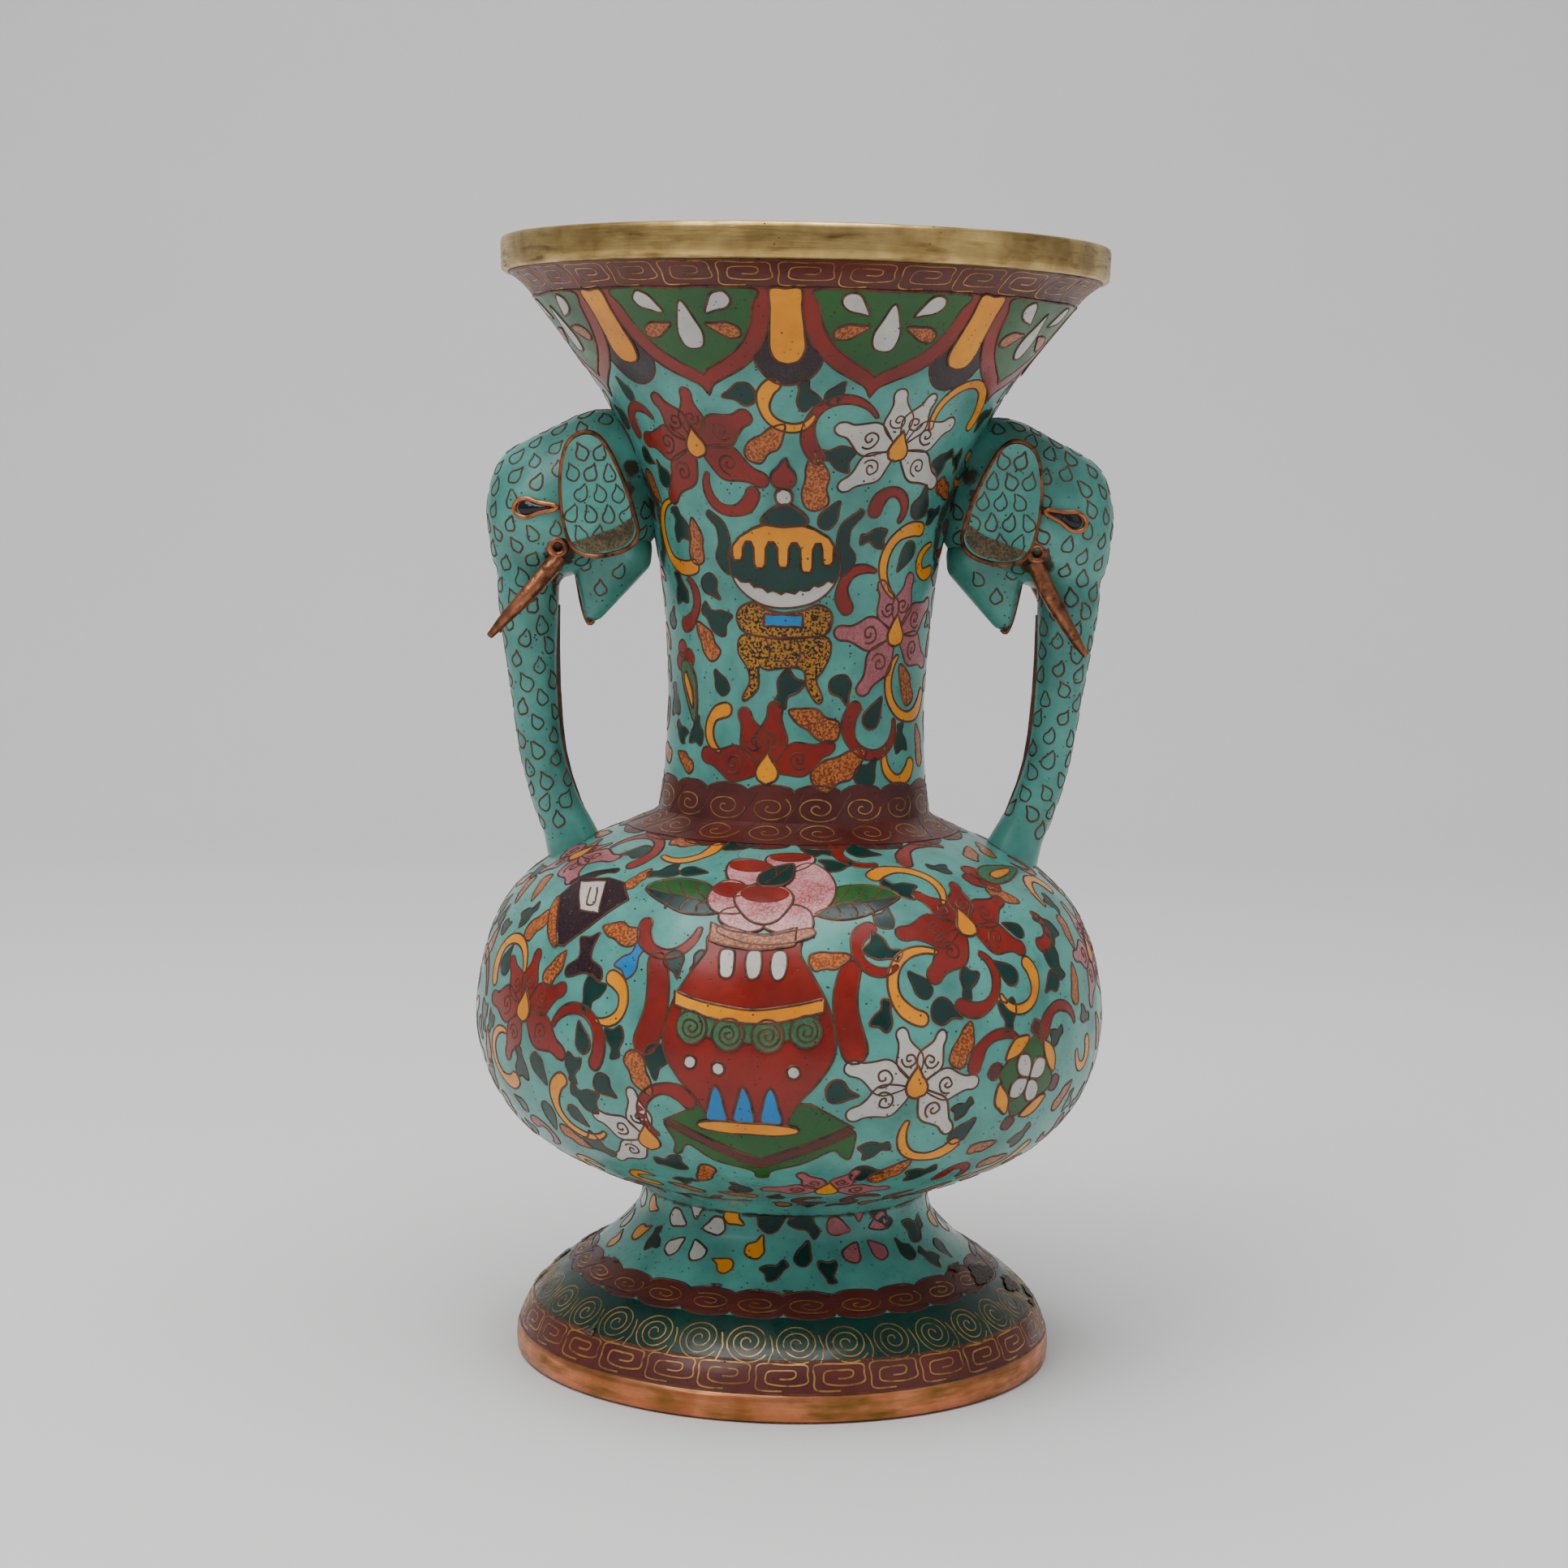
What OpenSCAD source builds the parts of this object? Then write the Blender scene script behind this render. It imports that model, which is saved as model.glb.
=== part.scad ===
// Cloisonne vase with two elephant-head handles.
// A copper body in four soldered sections (neck, belly dome, belly bowl, foot) carries an
// enamel coat outside and a thin counter-enamel lining inside. A brass ring closes the
// mouth and a copper ring shoes the foot. Each handle is a hollow copper elephant head
// whose trunk comes down to the shoulder of the vase.
// +Z is up. The origin is the centre of the resting face. The handles lie along X and the
// front of the decoration faces -Y. All sizes are in millimetres.

/* [Body] */
// Overall height, foot ring to mouth ring
vase_h = 250; // [248:0.5:254]
// Outer radius of the belly at its widest
belly_r = 71; // [69:0.5:73]
// Outer radius of the foot at its ring
foot_r = 61; // [59:0.5:63]
// Outer radius of the brass mouth ring
mouth_r = 67.6; // [67:0.1:70]
// Height of the brass mouth ring
mouth_ring_h = 7.4; // [6:0.1:8]
// Height of the copper foot ring
foot_ring_h = 6; // [4.5:0.5:7]

/* [Wall] */
// Thickness of the copper sheet
copper_t = 0.8; // [0.6:0.1:1]
// Thickness of the outer enamel coat
enamel_t = 0.9; // [0.6:0.1:1.2]
// Thickness of the counter-enamel inside
lining_t = 0.4; // [0.3:0.1:0.6]
// Height of each soldered lap between sections
lap_h = 4; // [3:0.5:6]

/* [Wires] */
// Diameter of the border wires between the bands of enamel
border_wire_d = 0.7; // [0.5:0.1:1]

/* [Elephants] */
// Half the width of a head, measured across the handle
head_half_w = 13; // [12.6:0.1:13.4]
// Radius of the trunk at its thinnest
trunk_r = 5; // [4.6:0.1:5.2]
// Radius of a tusk at its thickest
tusk_r = 1.8; // [1.4:0.1:2]

/* [Hidden] */

turn_fn = 96;   // facets round the vase
soft_fn = 24;   // facets round a rounded lump
tube_fn = 16;   // sides of a swept tube
steps = 4;      // spline points between two outline points

copper = "#b8713f";
brass = "#c9a95c";
turquoise = "#4fa79b";
counter_blue = "#3f8f9a";
ink = "#1a1a22";

// Heights that the sections share.
ring_z = vase_h - mouth_ring_h;     // underside of the mouth ring
waist_z = 37.6;                     // foot meets belly
equator_z = 78;                     // the two halves of the belly meet
shoulder_z = 124;                   // belly meets neck
collar_r = 64;                      // outside of the copper collar in the mouth ring
collar_top_z = vase_h - 0.6;        // the ring's lip covers the collar's edge
shoe_r = foot_r - 1.7;              // outside of the foot's copper wall in its ring
shoe_z = 0.8;                       // the foot ring's lip covers the wall's edge
lip_w = 1.8;                        // how far that lip reaches in
floor_hole_r = 24;                  // opening in the flange at the top of the foot
lip_wire_z = ring_z - 0.5;          // wires against the mouth ring and the foot ring
foot_wire_z = foot_ring_h + 0.4;

// Outer faces of the enamel, as [radius, height], from the bottom up.
foot_points = [
    [foot_r - 0.6, foot_ring_h], [foot_r - 3.5, 12], [foot_r - 10, 18],
    [foot_r - 19, 24], [36.2, 29.2], [33.4, 33], [32.4, waist_z]
];
belly_points = [
    [32.4, waist_z], [36.6, 41.2], [44.8, 44], [53.8, 48.4], [belly_r - 10.3, 53.4],
    [belly_r - 4.4, 61], [belly_r - 1, 69.5], [belly_r, equator_z], [belly_r - 1.1, 88],
    [belly_r - 3.7, 97.5], [belly_r - 8.2, 105], [belly_r - 14.8, 111.2],
    [47, 116.2], [38.6, 119.8], [32.6, 122.4], [30.5, shoulder_z]
];
neck_points = [
    [30.5, shoulder_z], [29.6, 131], [28.9, 146], [29.3, 160], [30.5, 173], [33.2, 188],
    [37.8, 203], [44, 215.5], [51.4, 226.2], [59.6, 236.7], [62.8, 240.3], [66, ring_z]
];

// ---- curves -------------------------------------------------------------------------

// A point at t on the smooth curve through four neighbouring points, between b and c.
function curve_at(a, b, c, d, t) =
    0.5 * (2 * b + (c - a) * t + (2 * a - 5 * b + 4 * c - d) * t * t
    + (3 * b - a - 3 * c + d) * t * t * t);

// An open smooth curve through points.
function smooth(points) = [
    for (i = [0 : len(points) - 2]) for (k = [0 : steps - 1])
        curve_at(points[max(i - 1, 0)], points[i], points[i + 1],
            points[min(i + 2, len(points) - 1)], k / steps),
    points[len(points) - 1]
];

// A closed smooth curve through points.
function smooth_loop(points) = let (n = len(points)) [
    for (i = [0 : n - 1]) for (k = [0 : steps - 1])
        curve_at(points[(i + n - 1) % n], points[i], points[(i + 1) % n],
            points[(i + 2) % n], k / steps)
];

function reversed(list) = [for (i = [len(list) - 1 : -1 : 0]) list[i]];
function above(path, z) = [for (p = path) if (p[1] >= z) p];
function below(path, z) = [for (p = path) if (p[1] <= z) p];

// The unit normal of a rising path at point i, pointing away from the axis.
function outward(path, i) =
    let (d = path[min(i + 1, len(path) - 1)] - path[max(i - 1, 0)])
    [d[1], -d[0]] / norm(d);

// A path moved towards the axis by t.
function inset(path, t) = [for (i = [0 : len(path) - 1]) path[i] - t * outward(path, i)];

foot_face = smooth(foot_points);
belly_face = smooth(belly_points);
neck_face = smooth(neck_points);

// Outer faces of the copper. The neck ends in a straight collar and the foot starts in one.
foot_wall = concat([[shoe_r, shoe_z], [shoe_r, foot_ring_h]],
    above(inset(foot_face, enamel_t), foot_ring_h + 0.4));
belly_wall = inset(belly_face, enamel_t);
neck_wall = concat(
    above(below(inset(neck_face, enamel_t), ring_z - 0.8), shoulder_z + 0.4),
    [[collar_r, ring_z]]
);
// The dome's copper turns up inside the neck's copper as a lap.
neck_lap = below(above(inset(neck_wall, copper_t), shoulder_z + 1), shoulder_z + lap_h);
dome_wall = concat(above(belly_wall, equator_z), [[neck_lap[0][0], shoulder_z + 0.2]], neck_lap);
neck_wall_and_collar = concat(neck_wall, [[collar_r, collar_top_z]]);

// ---- the turned body ----------------------------------------------------------------

// The solid of revolution between two paths that run the same way.
module between(outer, inner) {
    rotate_extrude($fn = turn_fn) polygon(concat(outer, reversed(inner)));
}

// A shell of thickness t inside a path.
module sheet_inside(path, t) {
    between(path, inset(path, t));
}

module mouth_ring() {
    edge = 0.5;
    color(brass) rotate_extrude($fn = turn_fn) polygon([
        [collar_r, ring_z], [mouth_r - 0.4 - edge, ring_z], [mouth_r - 0.4, ring_z + edge],
        [mouth_r, vase_h - edge], [mouth_r - edge, vase_h], [collar_r - copper_t, vase_h],
        [collar_r - copper_t, collar_top_z], [collar_r, collar_top_z]
    ]);
}

module neck_core() {
    color(copper) sheet_inside(neck_wall_and_collar, copper_t);
}

module neck_enamel() {
    color(turquoise) between(neck_face, neck_wall);
}

// The lining starts above the lap that the belly dome pushes up into the neck.
module neck_lining() {
    path = above(inset(neck_wall, copper_t), shoulder_z + lap_h + 0.5);
    color(counter_blue) sheet_inside(path, lining_t);
}

module belly_dome_core() {
    color(copper) sheet_inside(dome_wall, copper_t);
}

module belly_bowl_core() {
    lower = below(belly_wall, equator_z);
    lap = below(above(inset(belly_wall, copper_t), equator_z - 3), equator_z + lap_h);
    floor_r = lower[0][0];
    color(copper) union() {
        sheet_inside(lower, copper_t);
        sheet_inside(lap, copper_t);
        translate([0, 0, waist_z]) cylinder(r = floor_r, h = copper_t, $fn = turn_fn);
    }
}

module belly_enamel() {
    color(turquoise) between(belly_face, belly_wall);
}

// The two linings leave room for the lap at the equator.
module belly_dome_lining() {
    path = inset(belly_wall, copper_t);
    color(counter_blue)
        sheet_inside(below(above(path, equator_z + lap_h + 1), shoulder_z - 3), lining_t);
}

module belly_bowl_lining() {
    path = inset(belly_wall, copper_t);
    color(counter_blue)
        sheet_inside(above(below(path, equator_z - 4), waist_z + 3), lining_t);
}

// The foot's wall turns in at the top as a flange, which is soldered under the bowl.
module foot_core() {
    top_r = foot_wall[len(foot_wall) - 1][0];
    color(copper) union() {
        sheet_inside(foot_wall, copper_t);
        translate([0, 0, waist_z - copper_t]) difference() {
            cylinder(r = top_r - 0.1, h = copper_t, $fn = turn_fn);
            translate([0, 0, -1]) cylinder(r = floor_hole_r, h = copper_t + 2, $fn = turn_fn);
        }
    }
}

module foot_enamel() {
    color(turquoise) between(foot_face, concat([[shoe_r, foot_ring_h]],
        above(inset(foot_face, enamel_t), foot_ring_h + 0.4)));
}

module foot_lining() {
    path = below(above(inset(foot_wall, copper_t), foot_ring_h), waist_z - 3);
    color(counter_blue) sheet_inside(path, lining_t);
}

module foot_ring() {
    edge = 0.5;
    color(copper) rotate_extrude($fn = turn_fn) polygon([
        [shoe_r - lip_w, 0], [foot_r - 0.8, 0], [foot_r - 0.2, edge], [foot_r, 2.4],
        [foot_r - 0.6, foot_ring_h], [shoe_r, foot_ring_h], [shoe_r, shoe_z],
        [shoe_r - lip_w, shoe_z]
    ]);
}

// A ring of wire that lies on the enamel at a height, between two bands of colour.
module border_wire(path, z) {
    r = lookup(z, [for (p = path) [p[1], p[0]]]);
    color(brass) rotate_extrude($fn = turn_fn) translate([r + 0.4 * border_wire_d, z])
        circle(d = border_wire_d, $fn = tube_fn);
}

// ---- the elephants ------------------------------------------------------------------
// Each is drawn on the +X side and mirrored for the left.

// Lumps that a head is drawn over: [x, z, radius].
brow_r = 15;
head_lumps = [
    [55.5, 190, brow_r], [59, 195.2, 10.5], [44, 199, 14], [42, 190, 11],
    [60.5, 182, 9]
];
// The trunk's centre line: [x, z, radius as a share of the thinnest].
trunk_line = [
    [60.7, 179, 1.36], [60.8, 174, 1.38], [60.6, 169, 1.3], [60, 160, 1.19], [59.2, 151, 1.09],
    [58.2, 142, 1.03], [57.2, 136, 1], [55.8, 130.5, 1], [53.4, 123.6, 1.02],
    [51.2, 118.8, 1.08], [49.2, 113.4, 1.3]
];
// An ear's outline in its own plane: x outward from the vase, y up.
ear_points = [
    [8.4, 5], [7.9, -4], [5.4, -11], [0.6, -13], [-6.4, -11.6], [-9.4, -8.6],
    [-8.8, -4.4], [-5.6, 4], [-1.4, 11.8], [2.4, 14], [6.6, 11.8]
];
ear_fit = 0.94;                 // the plate's share of the outline, inside its wire
ear_at = [44.4, 193.6];         // centre of an ear in the plane of the handle
ear_out = head_half_w + 1.6;    // distance of an ear from that plane
ear_splay = 14;                 // degrees that the ear's rear edge stands off
ear_t = 1.2;                    // thickness of the enamelled ear plate
// An eye's outline, pointing back towards the ear.
eye_points = [[4.8, 0], [3.8, 1.9], [1.2, 2.1], [-4.6, 0.6], [-4.6, -0.6], [1.2, -2.1], [3.8, -1.9]];
eye_fit = 0.66;                 // the bead's share of the outline, inside its wire
eye_at = [58.4, 190.8];
eye_out = head_half_w - 2.1;
eye_turn = 18;                  // degrees that the eye turns to lie along the cheek
// The tusks' centre lines, [x, y away from the plane of the handle, z, radius share]. Those of
// the right handle hang more steeply.
left_tusk_line = [
    [53.2, 9.9, 180, 1], [56.2, 10.9, 176.2, 1.06], [60.2, 11.6, 171.4, 1],
    [64.2, 11.2, 167, 0.86], [67, 10.4, 163.8, 0.66], [68.4, 9.8, 162.2, 0.42]
];
right_tusk_line = [
    [52.2, 10, 181, 1], [54.2, 10.9, 176.8, 1.06], [57.2, 11.6, 171.2, 1],
    [60.4, 11.2, 166.2, 0.86], [62.8, 10.4, 162.6, 0.66], [64.2, 9.8, 160.8, 0.42]
];
function tusk_line(side) = side < 0 ? left_tusk_line : right_tusk_line;

// A tube swept along points, round, with a radius at each point.
module tube(points, radii, sides = tube_fn) {
    n = len(points);
    function heading(i) =
        let (d = points[min(i + 1, n - 1)] - points[max(i - 1, 0)]) d / norm(d);
    function across(i) =
        let (c = cross(heading(i), [0, 1, 0])) c / norm(c);
    function corner(i, k) = let (u = across(i), v = cross(heading(i), u), a = 360 * k / sides)
        points[i] + radii[i] * (cos(a) * u + sin(a) * v);
    polyhedron(
        points = [for (i = [0 : n - 1]) for (k = [0 : sides - 1]) corner(i, k)],
        faces = concat(
            [[for (k = [0 : sides - 1]) k]],
            [[for (k = [sides - 1 : -1 : 0]) (n - 1) * sides + k]],
            [for (i = [0 : n - 2]) for (k = [0 : sides - 1])
                [i * sides + k, (i + 1) * sides + k,
                (i + 1) * sides + (k + 1) % sides, i * sides + (k + 1) % sides]]
        )
    );
}

// The outside of a head, taken in by t.
module head_form(t) {
    hull() for (l = head_lumps)
        translate([l[0], 0, l[1]])
            scale([1, (head_half_w * l[2] / brow_r - t) / (l[2] - t), 1])
            sphere(r = l[2] - t, $fn = soft_fn);
}

// The outside of a trunk, taken in by t.
module trunk_form(t) {
    tube([for (p = trunk_line) [p[0], 0, p[1]]], [for (p = trunk_line) p[2] * trunk_r - t]);
}

// The sheet between two depths below the outside of an elephant, open towards the vase.
module elephant_sheet(outer, inner, side) {
    difference() {
        union() {
            head_form(outer);
            trunk_form(outer);
        }
        union() {
            head_form(inner);
            trunk_form(inner);
        }
        vase_plug();
        head_fittings(side);
    }
}

// The vase's own outside beside the handle, which the handles are cut to.
module vase_plug() {
    neck_part = above(below(neck_face, ring_z - 3), 150);
    belly_part = below(above(belly_face, 100), 120);
    for (part = [neck_part, belly_part])
        rotate_extrude($fn = turn_fn)
            polygon(concat([[0, part[0][1]]], part, [[0, part[len(part) - 1][1]]]));
}

// Everything that is let into a head's copper and enamel, on both faces.
module head_fittings(side) {
    for (face = [0, 1]) mirror([0, face, 0]) {
        ear_blank();
        eye_blank(1);
        tusk(side);
    }
    trunk_seam();
}

module head_shell(side) {
    color(copper) elephant_sheet(enamel_t, enamel_t + copper_t, side);
}

module head_enamel(side) {
    color(turquoise) elephant_sheet(0, enamel_t, side);
}

// The lower lip hangs below the head as a pointed scoop.
module jaw() {
    color(turquoise) difference() {
        hull() {
            translate([38, 0, 182]) scale([1, 1.5, 1]) sphere(r = 5, $fn = soft_fn);
            translate([48.4, 0, 178.4]) scale([1, 2, 1]) sphere(r = 2.4, $fn = soft_fn);
            translate([47, 0, 165.8]) sphere(r = 0.9, $fn = soft_fn);
        }
        head_form(0);
        vase_plug();
    }
}

// The strip that closes the trunk's sheet, on the side towards the neck.
module trunk_seam() {
    strip_r = 0.8;
    run = [for (p = trunk_line) if (p[1] < 172 && p[1] > 120) p];
    color(copper) tube(
        [for (p = run) [p[0] - p[2] * trunk_r + 0.2, 0, p[1]]],
        [for (p = run) strip_r], 8
    );
}

// Puts a flat thing drawn in X and Y upright beside the head, at a place in the handle's
// plane and a distance from it, turned about its upright.
module beside_head(at, out, turn) {
    translate([at[0], -out, at[1]]) rotate([90, 0, 0]) rotate([0, turn, 0]) children();
}

module ear_blank() {
    beside_head(ear_at, ear_out, ear_splay) translate([0, 0, -0.2])
        linear_extrude(ear_t + 0.4) polygon(smooth_loop(ear_points));
}

module ear_plate() {
    color(turquoise) beside_head(ear_at, ear_out, ear_splay)
        linear_extrude(ear_t) polygon(smooth_loop(ear_points * ear_fit));
}

module ear_wire() {
    color(copper) beside_head(ear_at, ear_out, ear_splay)
        translate([0, 0, -0.2]) linear_extrude(ear_t + 0.4) difference() {
            polygon(smooth_loop(ear_points));
            polygon(smooth_loop(ear_points * ear_fit));
        }
}

// The eye's outline as a block, filled out to a share of its full size.
module eye_blank(share) {
    beside_head(eye_at, eye_out, eye_turn) linear_extrude(2)
        polygon(smooth_loop(eye_points * share));
}

module eye_bead() {
    color(ink) eye_blank(eye_fit);
}

module eye_wire() {
    color(copper) difference() {
        eye_blank(1);
        eye_blank(eye_fit);
    }
}

module tusk(side) {
    color(copper) tube(
        [for (p = tusk_line(side)) [p[0], -p[1], p[2]]],
        [for (p = tusk_line(side)) p[3] * tusk_r], 12
    );
}

// The small copper eyelet that holds a tusk's root against the cheek.
module tusk_collar(side) {
    root = tusk_line(side)[0];
    color(copper) translate([root[0] + 0.2, -root[1] - 1.2, root[2] + 2.2]) rotate([90, 0, 0])
        rotate_extrude($fn = soft_fn) translate([1.7, 0]) circle(r = 0.8, $fn = tube_fn);
}

// Draws its children on one of the four flanks: side -1 is the left handle and face -1 is
// the flank towards the front.
module on_flank(side, face) {
    mirror([side < 0 ? 1 : 0, 0, 0]) mirror([0, face > 0 ? 1 : 0, 0]) children();
}

// ---- the nodes ----------------------------------------------------------------------

mouth_ring();
neck_core();
neck_enamel();
neck_lining();
belly_dome_core();
belly_bowl_core();
belly_enamel();
belly_dome_lining();
belly_bowl_lining();
foot_core();
foot_enamel();
foot_lining();
foot_ring();
border_wire(neck_face, lip_wire_z);  // lip_wire
border_wire(neck_face, 236);  // mouth_band_wire
border_wire(neck_face, 130.4);  // neck_band_wire
border_wire(belly_face, 117);  // shoulder_band_wire
border_wire(foot_face, 12.4);  // foot_band_wire
border_wire(foot_face, foot_wire_z);  // foot_ring_wire

on_flank(-1, -1) head_shell(-1);  // left_head_shell
on_flank(-1, -1) head_enamel(-1);  // left_head_enamel
on_flank(-1, -1) jaw();  // left_jaw
on_flank(-1, -1) trunk_seam();  // left_trunk_seam
on_flank(-1, -1) ear_plate();  // left_front_ear
on_flank(-1, 1) ear_plate();  // left_back_ear
on_flank(-1, -1) ear_wire();  // left_front_ear_wire
on_flank(-1, 1) ear_wire();  // left_back_ear_wire
on_flank(-1, -1) eye_bead();  // left_front_eye
on_flank(-1, 1) eye_bead();  // left_back_eye
on_flank(-1, -1) eye_wire();  // left_front_eye_wire
on_flank(-1, 1) eye_wire();  // left_back_eye_wire
on_flank(-1, -1) tusk(-1);  // left_front_tusk
on_flank(-1, 1) tusk(-1);  // left_back_tusk
on_flank(-1, -1) tusk_collar(-1);  // left_front_tusk_collar
on_flank(-1, 1) tusk_collar(-1);  // left_back_tusk_collar

on_flank(1, -1) head_shell(1);  // right_head_shell
on_flank(1, -1) head_enamel(1);  // right_head_enamel
on_flank(1, -1) jaw();  // right_jaw
on_flank(1, -1) trunk_seam();  // right_trunk_seam
on_flank(1, -1) ear_plate();  // right_front_ear
on_flank(1, 1) ear_plate();  // right_back_ear
on_flank(1, -1) ear_wire();  // right_front_ear_wire
on_flank(1, 1) ear_wire();  // right_back_ear_wire
on_flank(1, -1) eye_bead();  // right_front_eye
on_flank(1, 1) eye_bead();  // right_back_eye
on_flank(1, -1) eye_wire();  // right_front_eye_wire
on_flank(1, 1) eye_wire();  // right_back_eye_wire
on_flank(1, -1) tusk(1);  // right_front_tusk
on_flank(1, 1) tusk(1);  // right_back_tusk
on_flank(1, -1) tusk_collar(1);  // right_front_tusk_collar
on_flank(1, 1) tusk_collar(1);  // right_back_tusk_collar
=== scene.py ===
"""The visual model of a cloisonne vase with elephant-head handles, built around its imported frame.

The frame is in metres: +Z up, the handles along X, the front of the decoration towards -Y. The
decoration is laid out in millimetres, with angles in degrees from the front, growing towards +X.
"""

import logging
import math
import random
from dataclasses import dataclass
from enum import Enum
from typing import Iterable, Protocol, Sequence

import bpy
import numpy as np
from mathutils import Matrix, Vector
from mathutils.bvhtree import BVHTree
from mathutils.geometry import delaunay_2d_cdt


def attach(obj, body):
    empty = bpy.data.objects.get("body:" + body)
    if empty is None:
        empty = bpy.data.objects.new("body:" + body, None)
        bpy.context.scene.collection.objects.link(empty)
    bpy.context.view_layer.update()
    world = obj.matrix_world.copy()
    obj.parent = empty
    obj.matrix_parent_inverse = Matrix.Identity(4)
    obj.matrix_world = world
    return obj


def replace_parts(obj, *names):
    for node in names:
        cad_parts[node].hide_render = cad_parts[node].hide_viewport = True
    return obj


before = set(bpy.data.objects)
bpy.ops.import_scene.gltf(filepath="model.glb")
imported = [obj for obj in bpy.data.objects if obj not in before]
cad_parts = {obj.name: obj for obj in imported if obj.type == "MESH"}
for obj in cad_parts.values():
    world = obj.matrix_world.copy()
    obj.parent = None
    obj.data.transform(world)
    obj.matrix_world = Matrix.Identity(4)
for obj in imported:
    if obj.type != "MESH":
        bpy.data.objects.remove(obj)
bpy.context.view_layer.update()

log = logging.getLogger("vase")
MM = 0.001
WIRE_W = 0.32           # half the width of a cloison wire
BASE = 0.05             # how far the lowest cells stand above the ground
LAYER = 0.12            # how far each nested cell stands above the one it lies in
SCALE_W = 0.27          # half the width of an elephant's scale wires
SCALE_GAP = 4.7         # the least distance between the middles of two scales
HEAD_SINK = 0.7         # how far a head may sink into the vase's enamel
Point = tuple[float, float]
RGB = tuple[int, int, int]
Socket = bpy.types.NodeSocket


# ---- finishes ------------------------------------------------------------------------------


def linear(rgb: RGB) -> tuple[float, float, float, float]:
    """An 8-bit screen colour as the renderer's linear colour."""
    share = [c / 255 for c in rgb]
    return (*[c / 12.92 if c < 0.04 else ((c + 0.055) / 1.055) ** 2.4 for c in share], 1.0)


class Shader:
    """A material's node tree, put together socket by socket from the object's coordinates."""

    def __init__(self, name: str) -> None:
        """Starts an empty surface.

        Args:
            name: the material's name.
        """
        self.material = bpy.data.materials.new(name)
        self.material.use_nodes = True
        self.tree = self.material.node_tree
        self.surface = self.tree.nodes["Principled BSDF"]
        self.place = self.tree.nodes.new("ShaderNodeTexCoord").outputs["Object"]

    def put(self, kind: str, inputs: dict, **settings) -> bpy.types.Node:
        """Adds a node.

        Args:
            kind: the node's type.
            inputs: socket name or number to a value or to another node's output.
            **settings: the node's own options.

        Returns:
            The node.
        """
        node = self.tree.nodes.new(kind)
        for key, value in settings.items():
            setattr(node, key, value)
        for key, value in inputs.items():
            if isinstance(value, bpy.types.NodeSocket):
                self.tree.links.new(value, node.inputs[key])
            else:
                node.inputs[key].default_value = value
        return node

    def noise(self, size_mm: float, detail: float = 3.0, stretch: tuple = (1, 1, 1)) -> Socket:
        """Cloudy noise from 0 to 1.

        Args:
            size_mm: the size of its lumps.
            detail: how many finer layers lie on them.
            stretch: how much finer it is along each axis.

        Returns:
            The socket that holds it.
        """
        place = self.put("ShaderNodeMapping", {"Vector": self.place, "Scale": stretch}).outputs[0]
        return self.put("ShaderNodeTexNoise", {"Vector": place, "Scale": 1000 / size_mm,
                        "Detail": detail}).outputs["Fac"]

    def dots(self, pitch_mm: float, size: float) -> Socket:
        """Scattered round dots: 1 inside a dot, 0 between them, one to each cell of the pitch.

        Args:
            pitch_mm: the distance between dots.
            size: a dot's radius as a share of the pitch.

        Returns:
            The socket that holds the mask.
        """
        cell = self.put("ShaderNodeTexVoronoi", {"Vector": self.place, "Scale": 1000 / pitch_mm})
        return self.steps(cell.outputs["Distance"], ((size * 0.7, 1.0), (size, 0.0)))

    def steps(self, value: Socket, stops: Sequence[Point]) -> Socket:
        """Maps a value through straight lines.

        Args:
            value: the socket that holds it.
            stops: (input, output) places that the lines join.

        Returns:
            The socket that holds the result.
        """
        ramp = self.put("ShaderNodeValToRGB", {"Fac": value})
        while len(ramp.color_ramp.elements) < len(stops):
            ramp.color_ramp.elements.new(0.5)
        for element, (at, level) in zip(ramp.color_ramp.elements, stops):
            element.position = at
            element.color = (level, level, level, 1)
        return ramp.outputs["Color"]

    def blend(self, share: Socket | float, first: Socket | tuple, second: Socket | tuple,
              kind: str = "MIX") -> Socket:
        """Mixes two colours.

        Args:
            share: how much of the second there is.
            first: the colour where the share is 0.
            second: the colour where it is 1.
            kind: how they are mixed.

        Returns:
            The socket that holds the result.
        """
        mix = self.put("ShaderNodeMix", {0: share, 6: first, 7: second}, data_type="RGBA",
                       blend_type=kind)
        return mix.outputs[2]

    def sums(self, kind: str, first: Socket, second: Socket | float) -> Socket:
        """The result of one sum on two values."""
        return self.put("ShaderNodeMath", {0: first, 1: second}, operation=kind).outputs[0]

    def shine(self, colour: Socket, rough: Socket, height: Socket, depth_mm: float,
              **plain: float) -> bpy.types.Material:
        """Connects the surface.

        Args:
            colour: the base colour's socket.
            rough: the roughness's socket.
            height: the bump's socket, from 0 to 1.
            depth_mm: the bump's depth.
            **plain: the surface's other sockets, by name with _ for a space.

        Returns:
            The finished material.
        """
        bump = self.put("ShaderNodeBump", {"Height": height, "Distance": depth_mm * MM,
                        "Strength": 1.0})
        for socket, source in (("Base Color", colour), ("Roughness", rough),
                               ("Normal", bump.outputs[0])):
            self.tree.links.new(source, self.surface.inputs[socket])
        for name, value in plain.items():
            self.surface.inputs[name.replace("_", " ")].default_value = value
        return self.material


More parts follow.
